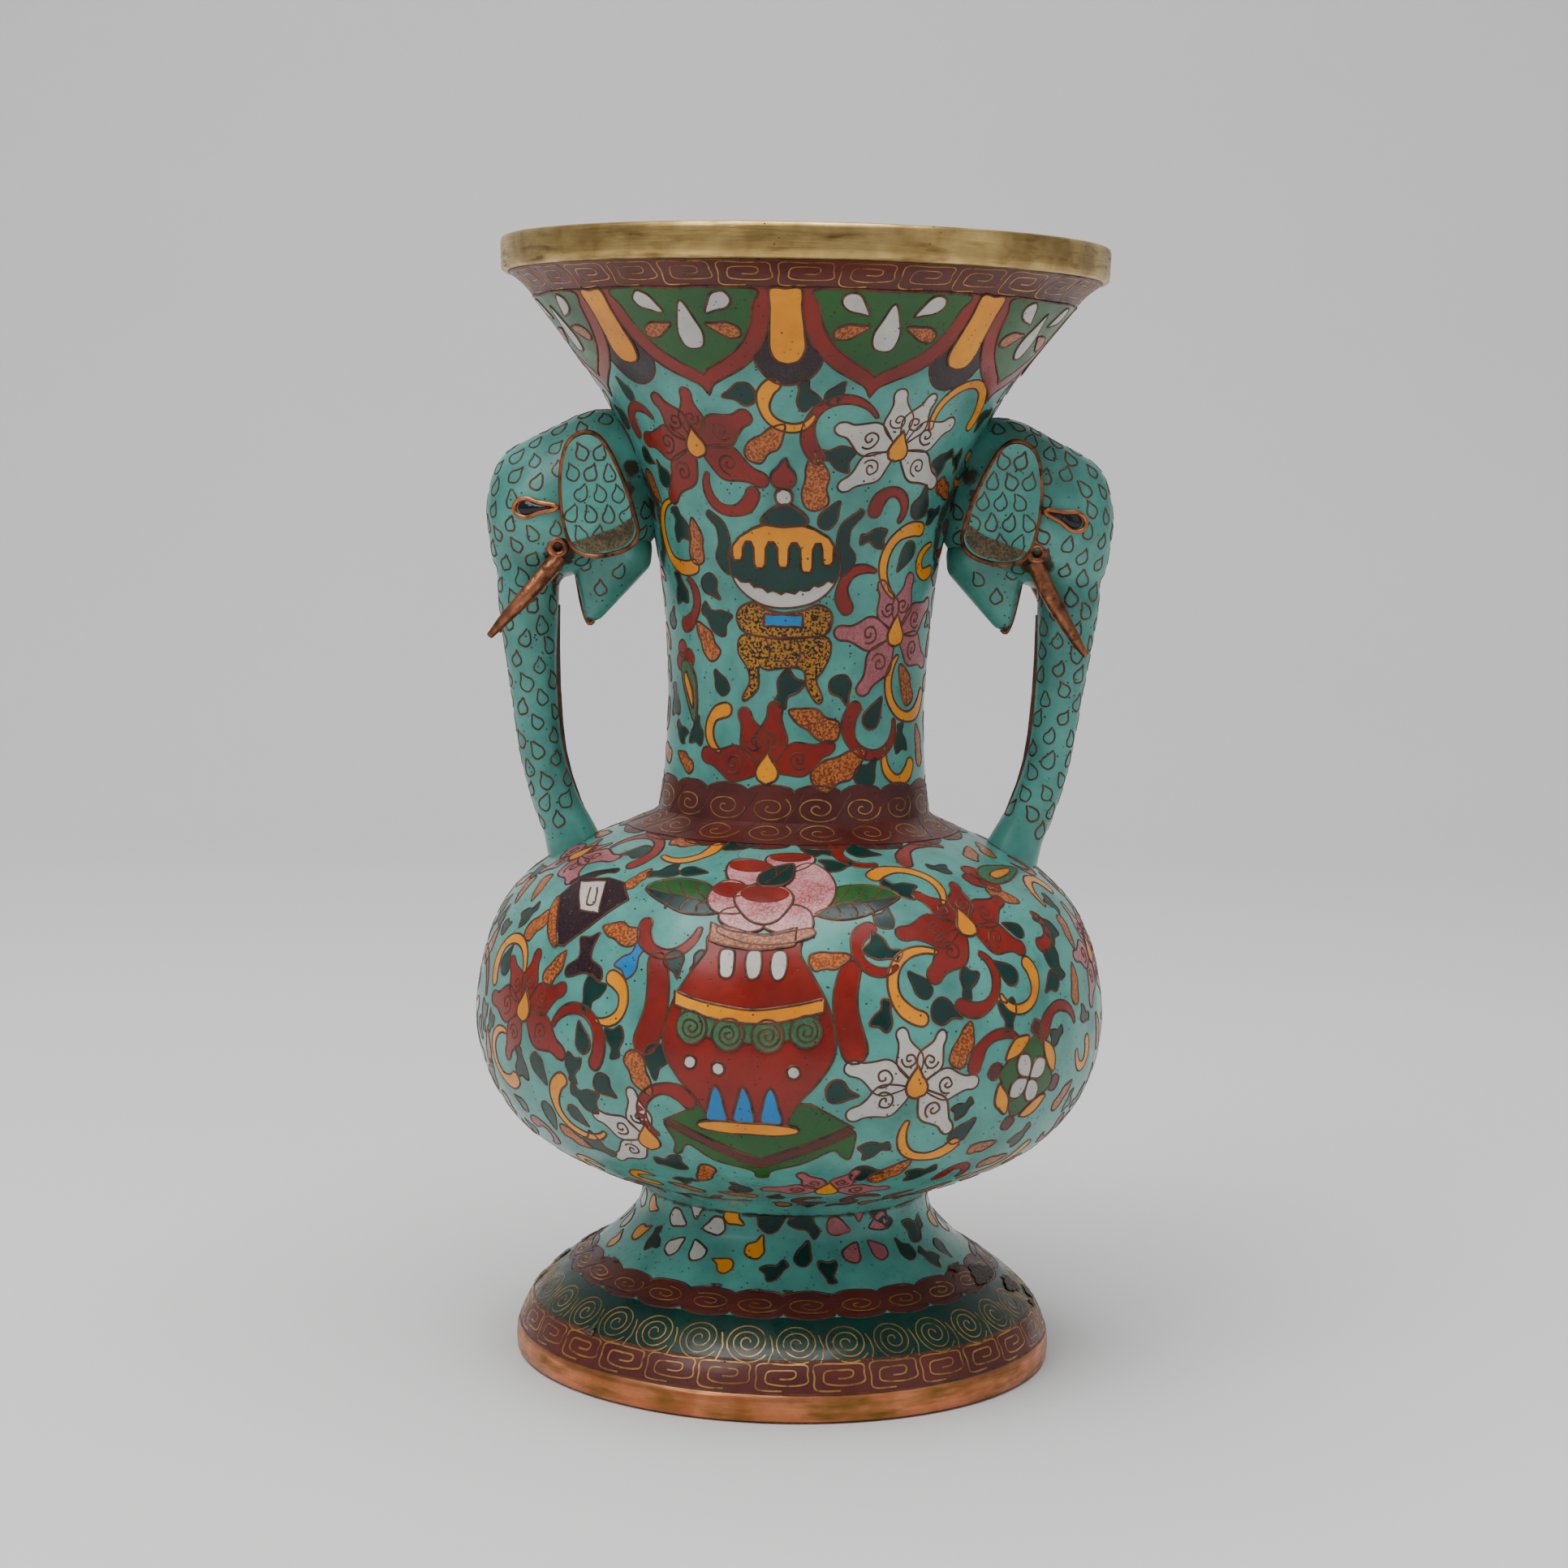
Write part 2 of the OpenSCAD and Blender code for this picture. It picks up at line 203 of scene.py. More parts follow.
@dataclass(frozen=True)
class Enamel:
    """Glassy enamel: clouded colour, fine black pits, a slightly uneven ground face."""

    name: str
    colour: RGB
    cloud: RGB         # the colour it drifts towards
    speck: RGB = (24, 26, 24)
    speck_share: float = 0.19           # size of the pits
    grain: float = 0.0                  # how strongly crushed grains of the speck colour show
    rough: float = 0.3
    cloud_mm: float = 13.0              # size of the clouds
    soiled_and_shaded: bool = False                # whether the piece's mask of grime and painted shade shows

    def material(self) -> bpy.types.Material:
        """Builds the enamel.

        Returns:
            The material.
        """
        sh = Shader(self.name)
        drift = sh.steps(sh.noise(self.cloud_mm, 4), ((0.38, 0.0), (0.68, 0.85)))
        colour = sh.blend(drift, linear(self.colour), linear(self.cloud))
        fine = sh.noise(0.55, 2)
        if self.grain:
            grains = sh.steps(fine, ((0.46, 0.0), (0.56, self.grain)))
            colour = sh.blend(grains, colour, linear(self.speck))
        shade = sh.steps(sh.noise(3.0, 5), ((0.3, 0.86), (0.7, 1.0)))
        dark = sh.blend(1.0, colour, shade, "MULTIPLY")
        pits = sh.sums("MULTIPLY", sh.dots(1.5, self.speck_share),
                       sh.steps(sh.noise(5, 2), ((0.42, 0.0), (0.6, 1.0))))
        colour = sh.blend(pits, dark, linear(self.speck))
        # grime, and painted shade in the crevices and joints where parts meet, darken the colour by the mask
        if self.soiled_and_shaded:
            mask = sh.put("ShaderNodeAttribute", {}, attribute_name="grime_and_shade").outputs["Fac"]
            ragged = sh.sums("MULTIPLY", mask, sh.steps(sh.noise(1.6, 4), ((0.3, 0.5), (0.6, 1.3))))
            colour = sh.blend(sh.steps(ragged, ((0.3, 0.0), (0.6, 0.95))), colour, linear((54, 40, 28)))
        rough = sh.steps(sh.noise(6, 4), ((0.3, self.rough - 0.08), (0.7, self.rough + 0.14)))
        height = sh.sums("SUBTRACT", sh.sums("MULTIPLY", sh.noise(2.4, 3), 0.6), pits)
        return sh.shine(colour, rough, height, 0.05, Coat_Weight=0.12, Coat_Roughness=0.1,
                        Specular_IOR_Level=0.34)


@dataclass(frozen=True)
class Metal:
    """Bare metal: two tones, tarnish in patches, pits, and fine scratches along the turning."""

    name: str
    bright: RGB
    dull: RGB
    stain: RGB = (62, 42, 26)
    stain_share: float = 0.5            # 0 is clean, 1 is stained nearly all over
    rough: float = 0.36
    brushed: bool = False
    metallic: float = 0.9
    depth_mm: float = 0.04

    def material(self) -> bpy.types.Material:
        """Builds the metal.

        Returns:
            The material.
        """
        sh = Shader(self.name)
        tone = sh.steps(sh.noise(7, 5), ((0.35, 0.0), (0.65, 1.0)))
        colour = sh.blend(tone, linear(self.bright), linear(self.dull))
        edge = 0.78 - 0.4 * self.stain_share
        stretch = (1, 1, 26) if self.brushed else (1, 1, 1)
        flow = sh.noise(11, 6, (1, 1, 5)) if self.brushed else sh.noise(2.2, 6)
        stained = sh.steps(flow, ((edge - 0.12, 0.0), (edge + 0.1, 0.85)))
        pits = sh.sums("MULTIPLY", sh.dots(2.2, 0.13), sh.steps(sh.noise(14, 2), ((0.5, 0.0), (0.62, 1.0))))
        stained = sh.sums("MAXIMUM", stained, pits)
        scratch = sh.noise(9 if self.brushed else 1.2, 4, stretch)
        streak = sh.steps(scratch, ((0.3, 0.0), (0.75, 0.32)))
        colour = sh.blend(streak, colour, linear(self.dull))
        colour = sh.blend(stained, colour, linear(self.stain))
        rough = sh.sums("ADD", sh.steps(scratch, ((0.3, self.rough - 0.08), (0.7, self.rough + 0.12))),
                        sh.sums("MULTIPLY", stained, 0.25))
        height = sh.sums("SUBTRACT", scratch, stained)
        return sh.shine(colour, rough, height, self.depth_mm, Metallic=self.metallic)


class Colour(Enum):
    """The enamels in the vase's palette."""

    TURQUOISE = Enamel("turquoise enamel", (86, 160, 148), (62, 124, 114), soiled_and_shaded=True)
    MAROON = Enamel("maroon enamel", (94, 34, 28), (66, 24, 26), speck=(46, 20, 20), rough=0.4)
    RED = Enamel("red enamel", (138, 30, 16), (112, 24, 18), speck=(70, 24, 24))
    GREEN = Enamel("leaf green enamel", (36, 90, 30), (26, 74, 34))
    OLIVE = Enamel("grey green enamel", (70, 116, 78), (56, 98, 68), grain=0.2)
    DEEP = Enamel("dark green enamel", (2, 54, 44), (2, 38, 36), speck=(4, 16, 16))
    YELLOW = Enamel("yellow enamel", (236, 150, 0), (212, 122, 0), speck=(60, 36, 16))
    WHITE = Enamel("white enamel", (198, 194, 184), (178, 178, 174), speck=(40, 44, 48),
                   speck_share=0.2)
    PINK = Enamel("pink enamel", (180, 104, 108), (158, 82, 88), speck=(120, 60, 74), grain=0.45)
    BLUSH = Enamel("blush enamel", (206, 134, 138), (152, 34, 24), speck=(226, 190, 194), grain=0.35,
                   cloud_mm=7)
    PLUM = Enamel("aubergine enamel", (38, 20, 26), (26, 14, 22), speck=(84, 52, 56), grain=0.25)
    GOLDSTONE = Enamel("goldstone enamel", (140, 66, 24), (104, 44, 22), speck=(206, 120, 52),
                       grain=0.7)
    SPECKLED = Enamel("speckled gold enamel", (190, 126, 16), (150, 94, 16), speck=(22, 14, 8),
                      grain=1.0)
    BLUE = Enamel("light blue enamel", (24, 126, 190), (16, 104, 164), speck=(10, 50, 90))
    ROSE = Enamel("brick enamel", (86, 34, 24), (74, 30, 28), speck=(60, 28, 26))
    CHIP = Enamel("bare chip", (70, 52, 40), (30, 24, 22), speck=(120, 104, 84), grain=0.5,
                  rough=0.7)
    CEMENT = Enamel("bare cement", (112, 98, 68), (52, 44, 30), speck=(36, 30, 20), grain=0.6,
                    rough=0.75, cloud_mm=4)


BRASS = Metal("brushed brass", (218, 184, 118), (166, 134, 80), (84, 58, 32), 0.3, 0.34, True)
COPPER_RING = Metal("foot copper", (220, 136, 94), (172, 104, 62), (122, 94, 38), 0.5, 0.34, True)
COPPER = Metal("worn copper", (172, 102, 68), (100, 60, 40), (44, 30, 24), 0.45, 0.42)
TUSK = Metal("rough copper", (190, 122, 86), (112, 70, 50), (50, 32, 24), 0.4, 0.36, depth_mm=0.14)
DARK_WIRE = Metal("cloison wire", (112, 66, 44), (72, 42, 32), (40, 26, 22), 0.35, 0.45,
                  metallic=0.4)
GOLD_WIRE = Metal("polished cloison wire", (206, 156, 78), (140, 100, 52), (74, 48, 30), 0.4, 0.35,
                  metallic=0.7)
LINING = Enamel("counter enamel", (74, 150, 148), (52, 112, 112), speck=(26, 40, 40),
                speck_share=0.24, rough=0.42)
EYE = Enamel("eye bead", (22, 26, 36), (12, 14, 22), rough=0.12)
EYE_WIRE = Metal("eye copper", (204, 128, 84), (150, 88, 56), (80, 46, 30), 0.35, 0.38)
SKIN = Colour.TURQUOISE.value


class Paint:
    """Gives finishes to pieces, building each material once."""

    made: dict[str, bpy.types.Material] = {}

    @classmethod
    def of(cls, finish: Enamel | Metal) -> bpy.types.Material:
        """The material of a finish."""
        if finish.name not in cls.made:
            cls.made[finish.name] = finish.material()
        return cls.made[finish.name]

    @classmethod
    def dress(cls, piece: bpy.types.Object, finish: Enamel | Metal) -> None:
        """Gives a piece one finish all over."""
        piece.data.materials.clear()
        piece.data.materials.append(cls.of(finish))


# ---- curves and outlines, in millimetres -----------------------------------------------------


def curve(points: Sequence[Point], closed: bool = False, step: float = 0.7) -> np.ndarray:
    """A smooth curve through points.

    Args:
        points: what it passes through.
        closed: whether it returns to its start.
        step: the longest distance between two of its points.

    Returns:
        An array of points.
    """
    pts = np.array(points, float)
    n = len(pts)
    out = []
    for i in range(n if closed else n - 1):
        ks = [(i + k) % n if closed else min(max(i + k, 0), n - 1) for k in (-1, 0, 1, 2)]
        a, b, c, d = pts[ks]
        count = max(1, math.ceil(np.linalg.norm(c - b) / step))
        t = (np.arange(count) / count)[:, None]
        out.append(0.5 * (2 * b + (c - a) * t + (2 * a - 5 * b + 4 * c - d) * t**2
                          + (3 * b - a - 3 * c + d) * t**3))
    if not closed:
        out.append(pts[-1:])
    return np.concatenate(out)


def straight(points: Sequence[Point], closed: bool = True, step: float = 0.7) -> np.ndarray:
    """Straight runs between points, cut into steps."""
    pts = np.array(list(points) + ([points[0]] if closed else []), float)
    runs = [a + (b - a) * (np.arange(n) / n)[:, None] for a, b in zip(pts[:-1], pts[1:])
            if (n := max(1, math.ceil(np.linalg.norm(b - a) / step)))]
    return np.concatenate(runs if closed else runs + [pts[-1:]])


def mirrored(half: Sequence[Point], step: float = 0.7) -> np.ndarray:
    """A closed outline from its right half, which runs anticlockwise from bottom to top."""
    right = curve(half, step=step)
    left = right[::-1] * (-1, 1)
    return np.concatenate((right, left[1:-1]))


def circle(radius: float, centre: Point = (0, 0), step: float = 0.7) -> np.ndarray:
    """A circle, anticlockwise."""
    n = max(10, math.ceil(math.tau * radius / step))
    a = np.arange(n) * math.tau / n
    return np.column_stack((np.cos(a), np.sin(a))) * radius + centre


def spiral(radius: float, turns: float, centre: Point = (0, 0), start: float = 0.0) -> np.ndarray:
    """A spiral from its centre out to a radius."""
    n = max(10, int(turns * 22))
    t = np.linspace(0.06, 1, n)
    a = math.radians(start) + t * turns * math.tau
    return np.column_stack((np.cos(a), np.sin(a))) * (radius * t**0.85)[:, None] + centre


def stroke(path: np.ndarray, widths: Sequence[float]) -> np.ndarray:
    """The outline of a brush stroke with round ends.

    Args:
        path: its centre line.
        widths: half widths, spread evenly along it.

    Returns:
        A closed outline.
    """
    run = np.gradient(path, axis=0)
    run /= np.linalg.norm(run, axis=1)[:, None] + 1e-9
    side = np.column_stack((-run[:, 1], run[:, 0]))
    half = np.interp(np.linspace(0, 1, len(path)), np.linspace(0, 1, len(widths)), widths)
    cap = []
    for at, along, across, w in ((path[-1], run[-1], side[-1], half[-1]),
                                 (path[0], -run[0], -side[0], half[0])):
        a = np.radians([-60, -30, 0, 30, 60])[:, None]
        cap.append(at + w * (np.cos(a) * along + np.sin(a) * across))
    right = path - side * half[:, None]
    left = path + side * half[:, None]
    return np.concatenate((right, cap[0], left[::-1], cap[1]))


def bow(a: np.ndarray, m: np.ndarray, b: np.ndarray, step: float = 0.7) -> np.ndarray:
    """The arc of a circle through three points.

    Args:
        a: where it starts.
        m: a point on its way.
        b: where it ends.
        step: the longest distance between two of its points.

    Returns:
        An array of points.
    """
    d = 2 * (a[0] * (m[1] - b[1]) + m[0] * (b[1] - a[1]) + b[0] * (a[1] - m[1]))
    if abs(d) < 0.5:
        return curve((a, m, b), step=step)
    sq = [p @ p for p in (a, m, b)]
    c = np.array([sq[0] * (m[1] - b[1]) + sq[1] * (b[1] - a[1]) + sq[2] * (a[1] - m[1]),
                  sq[0] * (b[0] - m[0]) + sq[1] * (a[0] - b[0]) + sq[2] * (m[0] - a[0])]) / d
    at = [math.atan2(p[1] - c[1], p[0] - c[0]) for p in (a, m, b)]
    sweep = (at[2] - at[0]) % math.tau
    if (at[1] - at[0]) % math.tau > sweep:
        sweep -= math.tau
    r = np.linalg.norm(a - c)
    t = at[0] + np.linspace(0, sweep, max(6, math.ceil(abs(sweep) * r / step)))
    return c + r * np.column_stack((np.cos(t), np.sin(t)))


def rotated(points: Sequence[Point], degrees: float) -> np.ndarray:
    """Points turned anticlockwise about the origin."""
    a = math.radians(degrees)
    x, y = np.array(points, float).T
    return np.column_stack((x * math.cos(a) - y * math.sin(a), x * math.sin(a) + y * math.cos(a)))


def anticlockwise(outline: np.ndarray) -> np.ndarray:
    """An outline, turned round if it runs clockwise."""
    after = np.roll(outline, -1, 0)
    area = (outline[:, 0] * after[:, 1] - after[:, 0] * outline[:, 1]).sum()
    return outline if area >= 0 else outline[::-1]


def holds(outline: np.ndarray, points: np.ndarray) -> np.ndarray:
    """Tells which points an outline holds inside it.

    Args:
        outline: the closed outline.
        points: the points to test.

    Returns:
        True or False for each point.
    """
    a, b = outline, np.roll(outline, -1, axis=0)
    x, y = points[:, :1], points[:, 1:]
    crosses = (a[:, 1] > y) != (b[:, 1] > y)
    with np.errstate(divide="ignore", invalid="ignore"):
        at = (b[:, 0] - a[:, 0]) * (y - a[:, 1]) / (b[:, 1] - a[:, 1]) + a[:, 0]
    return (crosses & (x < at)).sum(axis=1) % 2 == 1


def fill(outline: np.ndarray, pitch: float = 1.8) -> tuple[np.ndarray, list]:
    """Triangles that fill an outline, small enough to follow a curved surface.

    Args:
        outline: the closed outline.
        pitch: the distance between the points inside it.

    Returns:
        The points, and triples of their numbers.
    """
    low, high = outline.min(axis=0), outline.max(axis=0)
    xs, ys = (np.arange(lo + pitch / 2, hi, pitch) for lo, hi in zip(low, high))
    grid = np.array([(x, y) for x in xs for y in ys]).reshape(-1, 2)
    if len(grid):
        grid = grid[holds(outline, grid)]
    if len(grid):
        gap = np.linalg.norm(grid[:, None] - outline[None], axis=2).min(axis=1)
        grid = grid[gap > pitch * 0.35]
    points = [Vector(p) for p in np.concatenate((outline, grid))]
    out = delaunay_2d_cdt(points, [], [list(range(len(outline)))], 1, 1e-4)
    return np.array([tuple(p) for p in out[0]]), out[2]


# ---- surfaces that decoration is laid on ---------------------------------------------------------


@dataclass(frozen=True)
class Spot:
    """Where a motif lies: its angle round the vase and its height, turned and sized in place."""

    angle: float
    height: float
    turn: float = 0.0
    size: float = 1.0
    flip: bool = False

    def turned(self, xy: np.ndarray) -> np.ndarray:
        """A motif's own points as offsets from the spot."""
        return rotated(xy * self.size * (-1 if self.flip else 1, 1), self.turn)


class Surface(Protocol):
    """Anything that decoration can be laid on."""

    def lay(self, spot: Spot, xy: np.ndarray, lift: float) -> np.ndarray:
        """Puts a motif's points on the surface.

        Args:
            spot: where the motif lies.
            xy: its points.
            lift: how far above the surface they are, in millimetres.

        Returns:
            Their places, in metres.
        """


class Turned:
    """The outside of one turned section of the vase, slightly uneven as hand-raised copper is."""

    def __init__(self, outline: Sequence[Point]) -> None:
        """Smooths an outline.

        Args:
            outline: [radius, height] points from the bottom up.
        """
        path = curve(outline, step=0.5)
        self.r, self.z = path.T
        run = np.gradient(path, axis=0)
        run /= np.linalg.norm(run, axis=1)[:, None]
        self.out_r, self.out_z = run[:, 1], -run[:, 0]
        self.s = np.concatenate(([0], np.cumsum(np.linalg.norm(np.diff(path, axis=0), axis=1))))

    def along(self, height: float) -> float:
        """The distance along the outline at a height."""
        return float(np.interp(height, self.z, self.s))

    def radius(self, height: float) -> float:
        """The radius at a height."""
        return float(np.interp(height, self.z, self.r))

    def flat(self, about: Spot, at: Point) -> np.ndarray:
        """Where an (angle, height) point lies in the flat frame of a spot."""
        mid = self.radius((at[1] + about.height) / 2)
        return np.array((math.radians(at[0] - about.angle) * mid,
                         self.along(at[1]) - self.along(about.height)))

    def lay(self, spot: Spot, xy: np.ndarray, lift: float) -> np.ndarray:
        """Puts a motif's points on the surface.

        Args:
            spot: where the motif lies.
            xy: its points.
            lift: how far above the surface they are, in millimetres.

        Returns:
            Their places, in metres.
        """
        xy = spot.turned(xy)
        s = self.along(spot.height) + xy[:, 1]
        r, z = np.interp(s, self.s, self.r), np.interp(s, self.s, self.z)
        a = math.radians(spot.angle) + xy[:, 0] / r
        return self.at(a, s, r, z, lift)

    def unrolled(self, spot: Spot, xy: np.ndarray) -> np.ndarray:
        """The angle in radians and the distance along the outline of a motif's points."""
        xy = spot.turned(xy)
        s = self.along(spot.height) + xy[:, 1]
        return np.column_stack((math.radians(spot.angle) + xy[:, 0] / np.interp(s, self.s, self.r), s))

    def at(self, a: np.ndarray, s: np.ndarray, r: np.ndarray, z: np.ndarray, lift: float) -> np.ndarray:
        """Puts points on the uneven surface.

        Args:
            a: their angles, in radians.
            s: their distances along the outline.
            r: the outline's radii there.
            z: its heights there.
            lift: how far above the surface they are, in millimetres.

        Returns:
            Their places, in metres.
        """
        uneven = 0.1 * np.sin(5 * a + z / 17) * np.sin(z / 9) + 0.06 * np.sin(11 * a - z / 6)
        push = lift + uneven
        r = r + push * np.interp(s, self.s, self.out_r)
        z = z + push * np.interp(s, self.s, self.out_z)
        return np.column_stack((r * np.sin(a), -r * np.cos(a), z)) * MM


# ---- building meshes --------------------------------------------------------------------------


class Mesher:
    """Collects points and faces, then makes one object of them."""

    def __init__(self) -> None:
        """Starts with nothing."""
        self.points: list[np.ndarray] = []
        self.faces: list[tuple[int, ...]] = []
        self.count = 0

    def add(self, points: np.ndarray, faces: Iterable[Sequence[int]]) -> None:
        """Adds points in metres, and faces numbered from the first of them."""
        self.faces += [tuple(i + self.count for i in f) for f in faces]
        self.points.append(points)
        self.count += len(points)

    def grid(self, rows: Sequence[np.ndarray], closed: bool = False, looped: bool = False) -> None:
        """Adds the quads between rows of points, each row to the left of the one before.

        Args:
            rows: rows with the same number of points.
            closed: whether each row returns to its start.
            looped: whether the last row joins the first.
        """
        n, count = len(rows[0]), len(rows)
        faces = [(j * n + i, j * n + (i + 1) % n, (j + 1) % count * n + (i + 1) % n, (j + 1) % count * n + i)
                 for j in range(count if looped else count - 1) for i in range(n if closed else n - 1)]
        self.add(np.concatenate(rows), faces)

    def piece(self, name: str, finish: Enamel | Metal, sharp: float = 60) -> bpy.types.Object:
        """Makes the object, smooth except over sharp edges, riding on the vase.

        Args:
            name: the object's name.
            finish: what it is made of.
            sharp: edges over this many degrees stay sharp.

        Returns:
            The object.
        """
        return settle(self.raw(name), finish, sharp)

    def raw(self, name: str) -> bpy.types.Object:
        """Makes the object, not yet smoothed or dressed.

        Args:
            name: the object's name.

        Returns:
            The object.
        """
        mesh = bpy.data.meshes.new(name)
        mesh.from_pydata(np.concatenate(self.points).tolist(), [], self.faces)
        piece = bpy.data.objects.new(name, mesh)
        bpy.context.scene.collection.objects.link(piece)
        return piece


def smooth(piece: bpy.types.Object, sharp: float) -> None:
    """Shades a piece smooth except over edges of more than sharp degrees."""
    bpy.ops.object.select_all(action="DESELECT")
    piece.select_set(True)
    bpy.context.view_layer.objects.active = piece
    bpy.ops.object.shade_smooth_by_angle(angle=math.radians(sharp))


def settle(piece: bpy.types.Object, finish: Enamel | Metal, sharp: float = 60) -> bpy.types.Object:
    """Smooths and dresses a piece and fixes it to the vase.

    Args:
        piece: the object.
        finish: what it is made of.
        sharp: edges over this many degrees stay sharp.

    Returns:
        The object.
    """
    smooth(piece, sharp)
    Paint.dress(piece, finish)
    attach(piece, "root")
    log.info("%s: %d faces", piece.name, len(piece.data.polygons))
    return piece


def tube(path: np.ndarray, radii: Sequence[float], sides: int) -> Mesher:
    """A closed tube along a path in millimetres, with radii spread evenly along it.

    Args:
        path: three-dimensional points.
        radii: its radii.
        sides: points round it.

    Returns:
        The mesh so far.
    """
    run = np.gradient(path, axis=0)
    run /= np.linalg.norm(run, axis=1)[:, None]
    side = np.cross(run, (0.02, 1.0, 0.03))
    side /= np.linalg.norm(side, axis=1)[:, None]
    up = np.cross(run, side)
    r = np.interp(np.linspace(0, 1, len(path)), np.linspace(0, 1, len(radii)), radii)[:, None]
    a = (np.arange(sides) * math.tau / sides)[:, None]
    rings = [(at + w * (np.cos(a) * across + np.sin(a) * over)) * MM
             for at, w, across, over in zip(path, r, side, up)]
    out = Mesher()
    out.grid(rings, closed=True)
    out.faces += [tuple(range(sides))[::-1], tuple(range(out.count - sides, out.count))]
    return out


class Inlay:
    """The coloured cells and the wires between them on one surface."""

    def __init__(self, name: str, surface: Surface, seed: int) -> None:
        """Starts with no cells.

        Args:
            name: the section's name, which its pieces' names start with.
            surface: what the cells lie on.
            seed: fixes how the wires wander.
        """
        self.name = name
        self.surface = surface
        self.cells: dict[Colour, Mesher] = {}
        self.dark = Mesher()
        self.gold = Mesher()
        self.random = random.Random(seed)
        self.taken: list[np.ndarray] = []       # (angle in radians, distance along) that cells cover

    @staticmethod
    def level(layer: int) -> float:
        """How high the face of a layer's cells stands, in millimetres."""
        return BASE + LAYER * (layer - 1)

    def cell(self, spot: Spot, outline: np.ndarray, colour: Colour, layer: int = 1,
             wired: bool = True) -> None:
        """Lays one cell of enamel.

        Args:
            spot: where it lies.
            outline: its outline.
            colour: its enamel.
            layer: 1 on the ground, more when nested in others.
            wired: whether a wire runs round it.
        """
        points, faces = fill(outline)
        if isinstance(self.surface, Turned):
            self.taken.append(self.surface.unrolled(spot, points))
        mesher = self.cells.setdefault(colour, Mesher())
        mesher.add(self.surface.lay(spot, points, self.level(layer)),
                   [f[::-1] for f in faces] if spot.flip else faces)
        if wired:
            self.wire(spot, outline, layer, closed=True)

    def wire(self, spot: Spot, path: np.ndarray, layer: int = 1, closed: bool = False,
             gold: bool = False, width: float = WIRE_W) -> None:
        """Lays one wire, half sunk in the enamel, wandering a little as a bent wire does.

        Args:
            spot: where it lies.
            path: its middle line.
            layer: the layer of the cells beside it.
            closed: whether it returns to its start.
            gold: whether it is one of the bright wires.
            width: half its width.
        """
        width *= self.random.uniform(0.85, 1.15)
        phase = self.random.uniform(0, math.tau)
        around = np.arange(len(path)) * math.tau / len(path)
        wander = 0.07 / spot.size * np.column_stack((np.sin(3 * around + phase), np.cos(5 * around + phase)))
        path = path + wander
        run = np.roll(path, -1, 0) - np.roll(path, 1, 0) if closed else np.gradient(path, axis=0)
        run /= np.linalg.norm(run, axis=1)[:, None] + 1e-9
        side = np.column_stack((-run[:, 1], run[:, 0])) * width / spot.size
        rows = [self.surface.lay(spot, path + side * k, self.level(layer) + up) for k, up in
                ((-1.0, -0.16), (-0.6, 0.06), (0.6, 0.06), (1.0, -0.16))]
        if spot.flip:
            rows.reverse()
        (self.gold if gold else self.dark).grid(rows, closed)

    def band(self, low: float, high: float, colour: Colour, layer: int = 1) -> None:
        """Lays a band of enamel all the way round.

        Args:
            low: the height of its lower edge.
            high: the height of its upper edge.
            colour: its enamel.
            layer: 1 on the ground, more when it lies over others.
        """
        s0, s1 = self.surface.along(low), self.surface.along(high)
        a = np.arange(288) * math.tau / 288
        rows = []
        for s in np.linspace(0, s1 - s0, max(2, math.ceil((s1 - s0) / 1.2))):
            flat = np.column_stack((a * np.interp(s0 + s, self.surface.s, self.surface.r), np.full(288, s)))
            rows.append(self.surface.lay(Spot(0, low), flat, self.level(layer)))
        self.cells.setdefault(colour, Mesher()).grid(rows, closed=True)

    def ring(self, height: float, layer: int = 1, gold: bool = False) -> None:
        """Lays a wire all the way round at a height."""
        r = self.surface.radius(height)
        a = np.linspace(0, math.tau, 361)
        self.wire(Spot(0, height), np.column_stack((a * r, np.zeros(361))), layer, False, gold)

    def scatter(self, low: float, high: float, filler: "Filler") -> None:
        """Fills what ground is left between two heights with small figures.

        Args:
            low: the lower height.
            high: the upper height.
            filler: what the figures are, and how much room each needs.
        """
        surface, gap = self.surface, filler.gap
        s0, s1 = surface.along(low), surface.along(high)
        for _ in range(filler.tries):
            a, s = self.random.uniform(0, math.tau), self.random.uniform(s0, s1)
            r, z = float(np.interp(s, surface.s, surface.r)), float(np.interp(s, surface.s, surface.z))
            if self.random.random() > r / surface.r.max() or not s0 + gap - 1 < s < s1 - gap + 1:
                continue
            near = [rows[np.abs(rows[:, 1] - s) < gap] for rows in self.taken if abs(rows[0, 1] - s) < 30]
            near = np.concatenate(near or [np.zeros((0, 2))])
            across = ((near[:, 0] - a + math.pi) % math.tau - math.pi) * r
            if (np.hypot(across, near[:, 1] - s) > gap).all():
                filler.figure(self.random, math.degrees(a), z).draw(self, 0)

    def finish(self) -> tuple[bpy.types.Object, ...]:
        """Makes the section's pieces.

        Returns:
            Those of wire, the dark ones first.
        """
        for colour, mesher in self.cells.items():
            mesher.piece(f"{self.name}_{colour.name.lower()}", colour.value)
        wires = []
        for mesher, finish, word in ((self.dark, DARK_WIRE, "wires"), (self.gold, GOLD_WIRE, "bright_wires")):
            if mesher.points:
                wires.append(mesher.piece(f"{self.name}_{word}", finish))
        return tuple(wires)


# ---- motifs --------------------------------------------------------------------------------------


class Motif(Protocol):
    """One figure of the decoration."""

    def draw(self, inlay: Inlay, shift: float) -> None:
        """Lays the figure, turned round the vase by shift degrees.

        Args:
            inlay: what it is laid into.
            shift: degrees to move it round the vase.
        """


@dataclass(frozen=True)
class Figure:
    """A figure that lies at one angle and height."""

    angle: float
    height: float

    def spot(self, shift: float, turn: float = 0.0) -> Spot:
        """Where it lies once it is moved round the vase by shift degrees."""
        return Spot(self.angle + shift, self.height, turn)


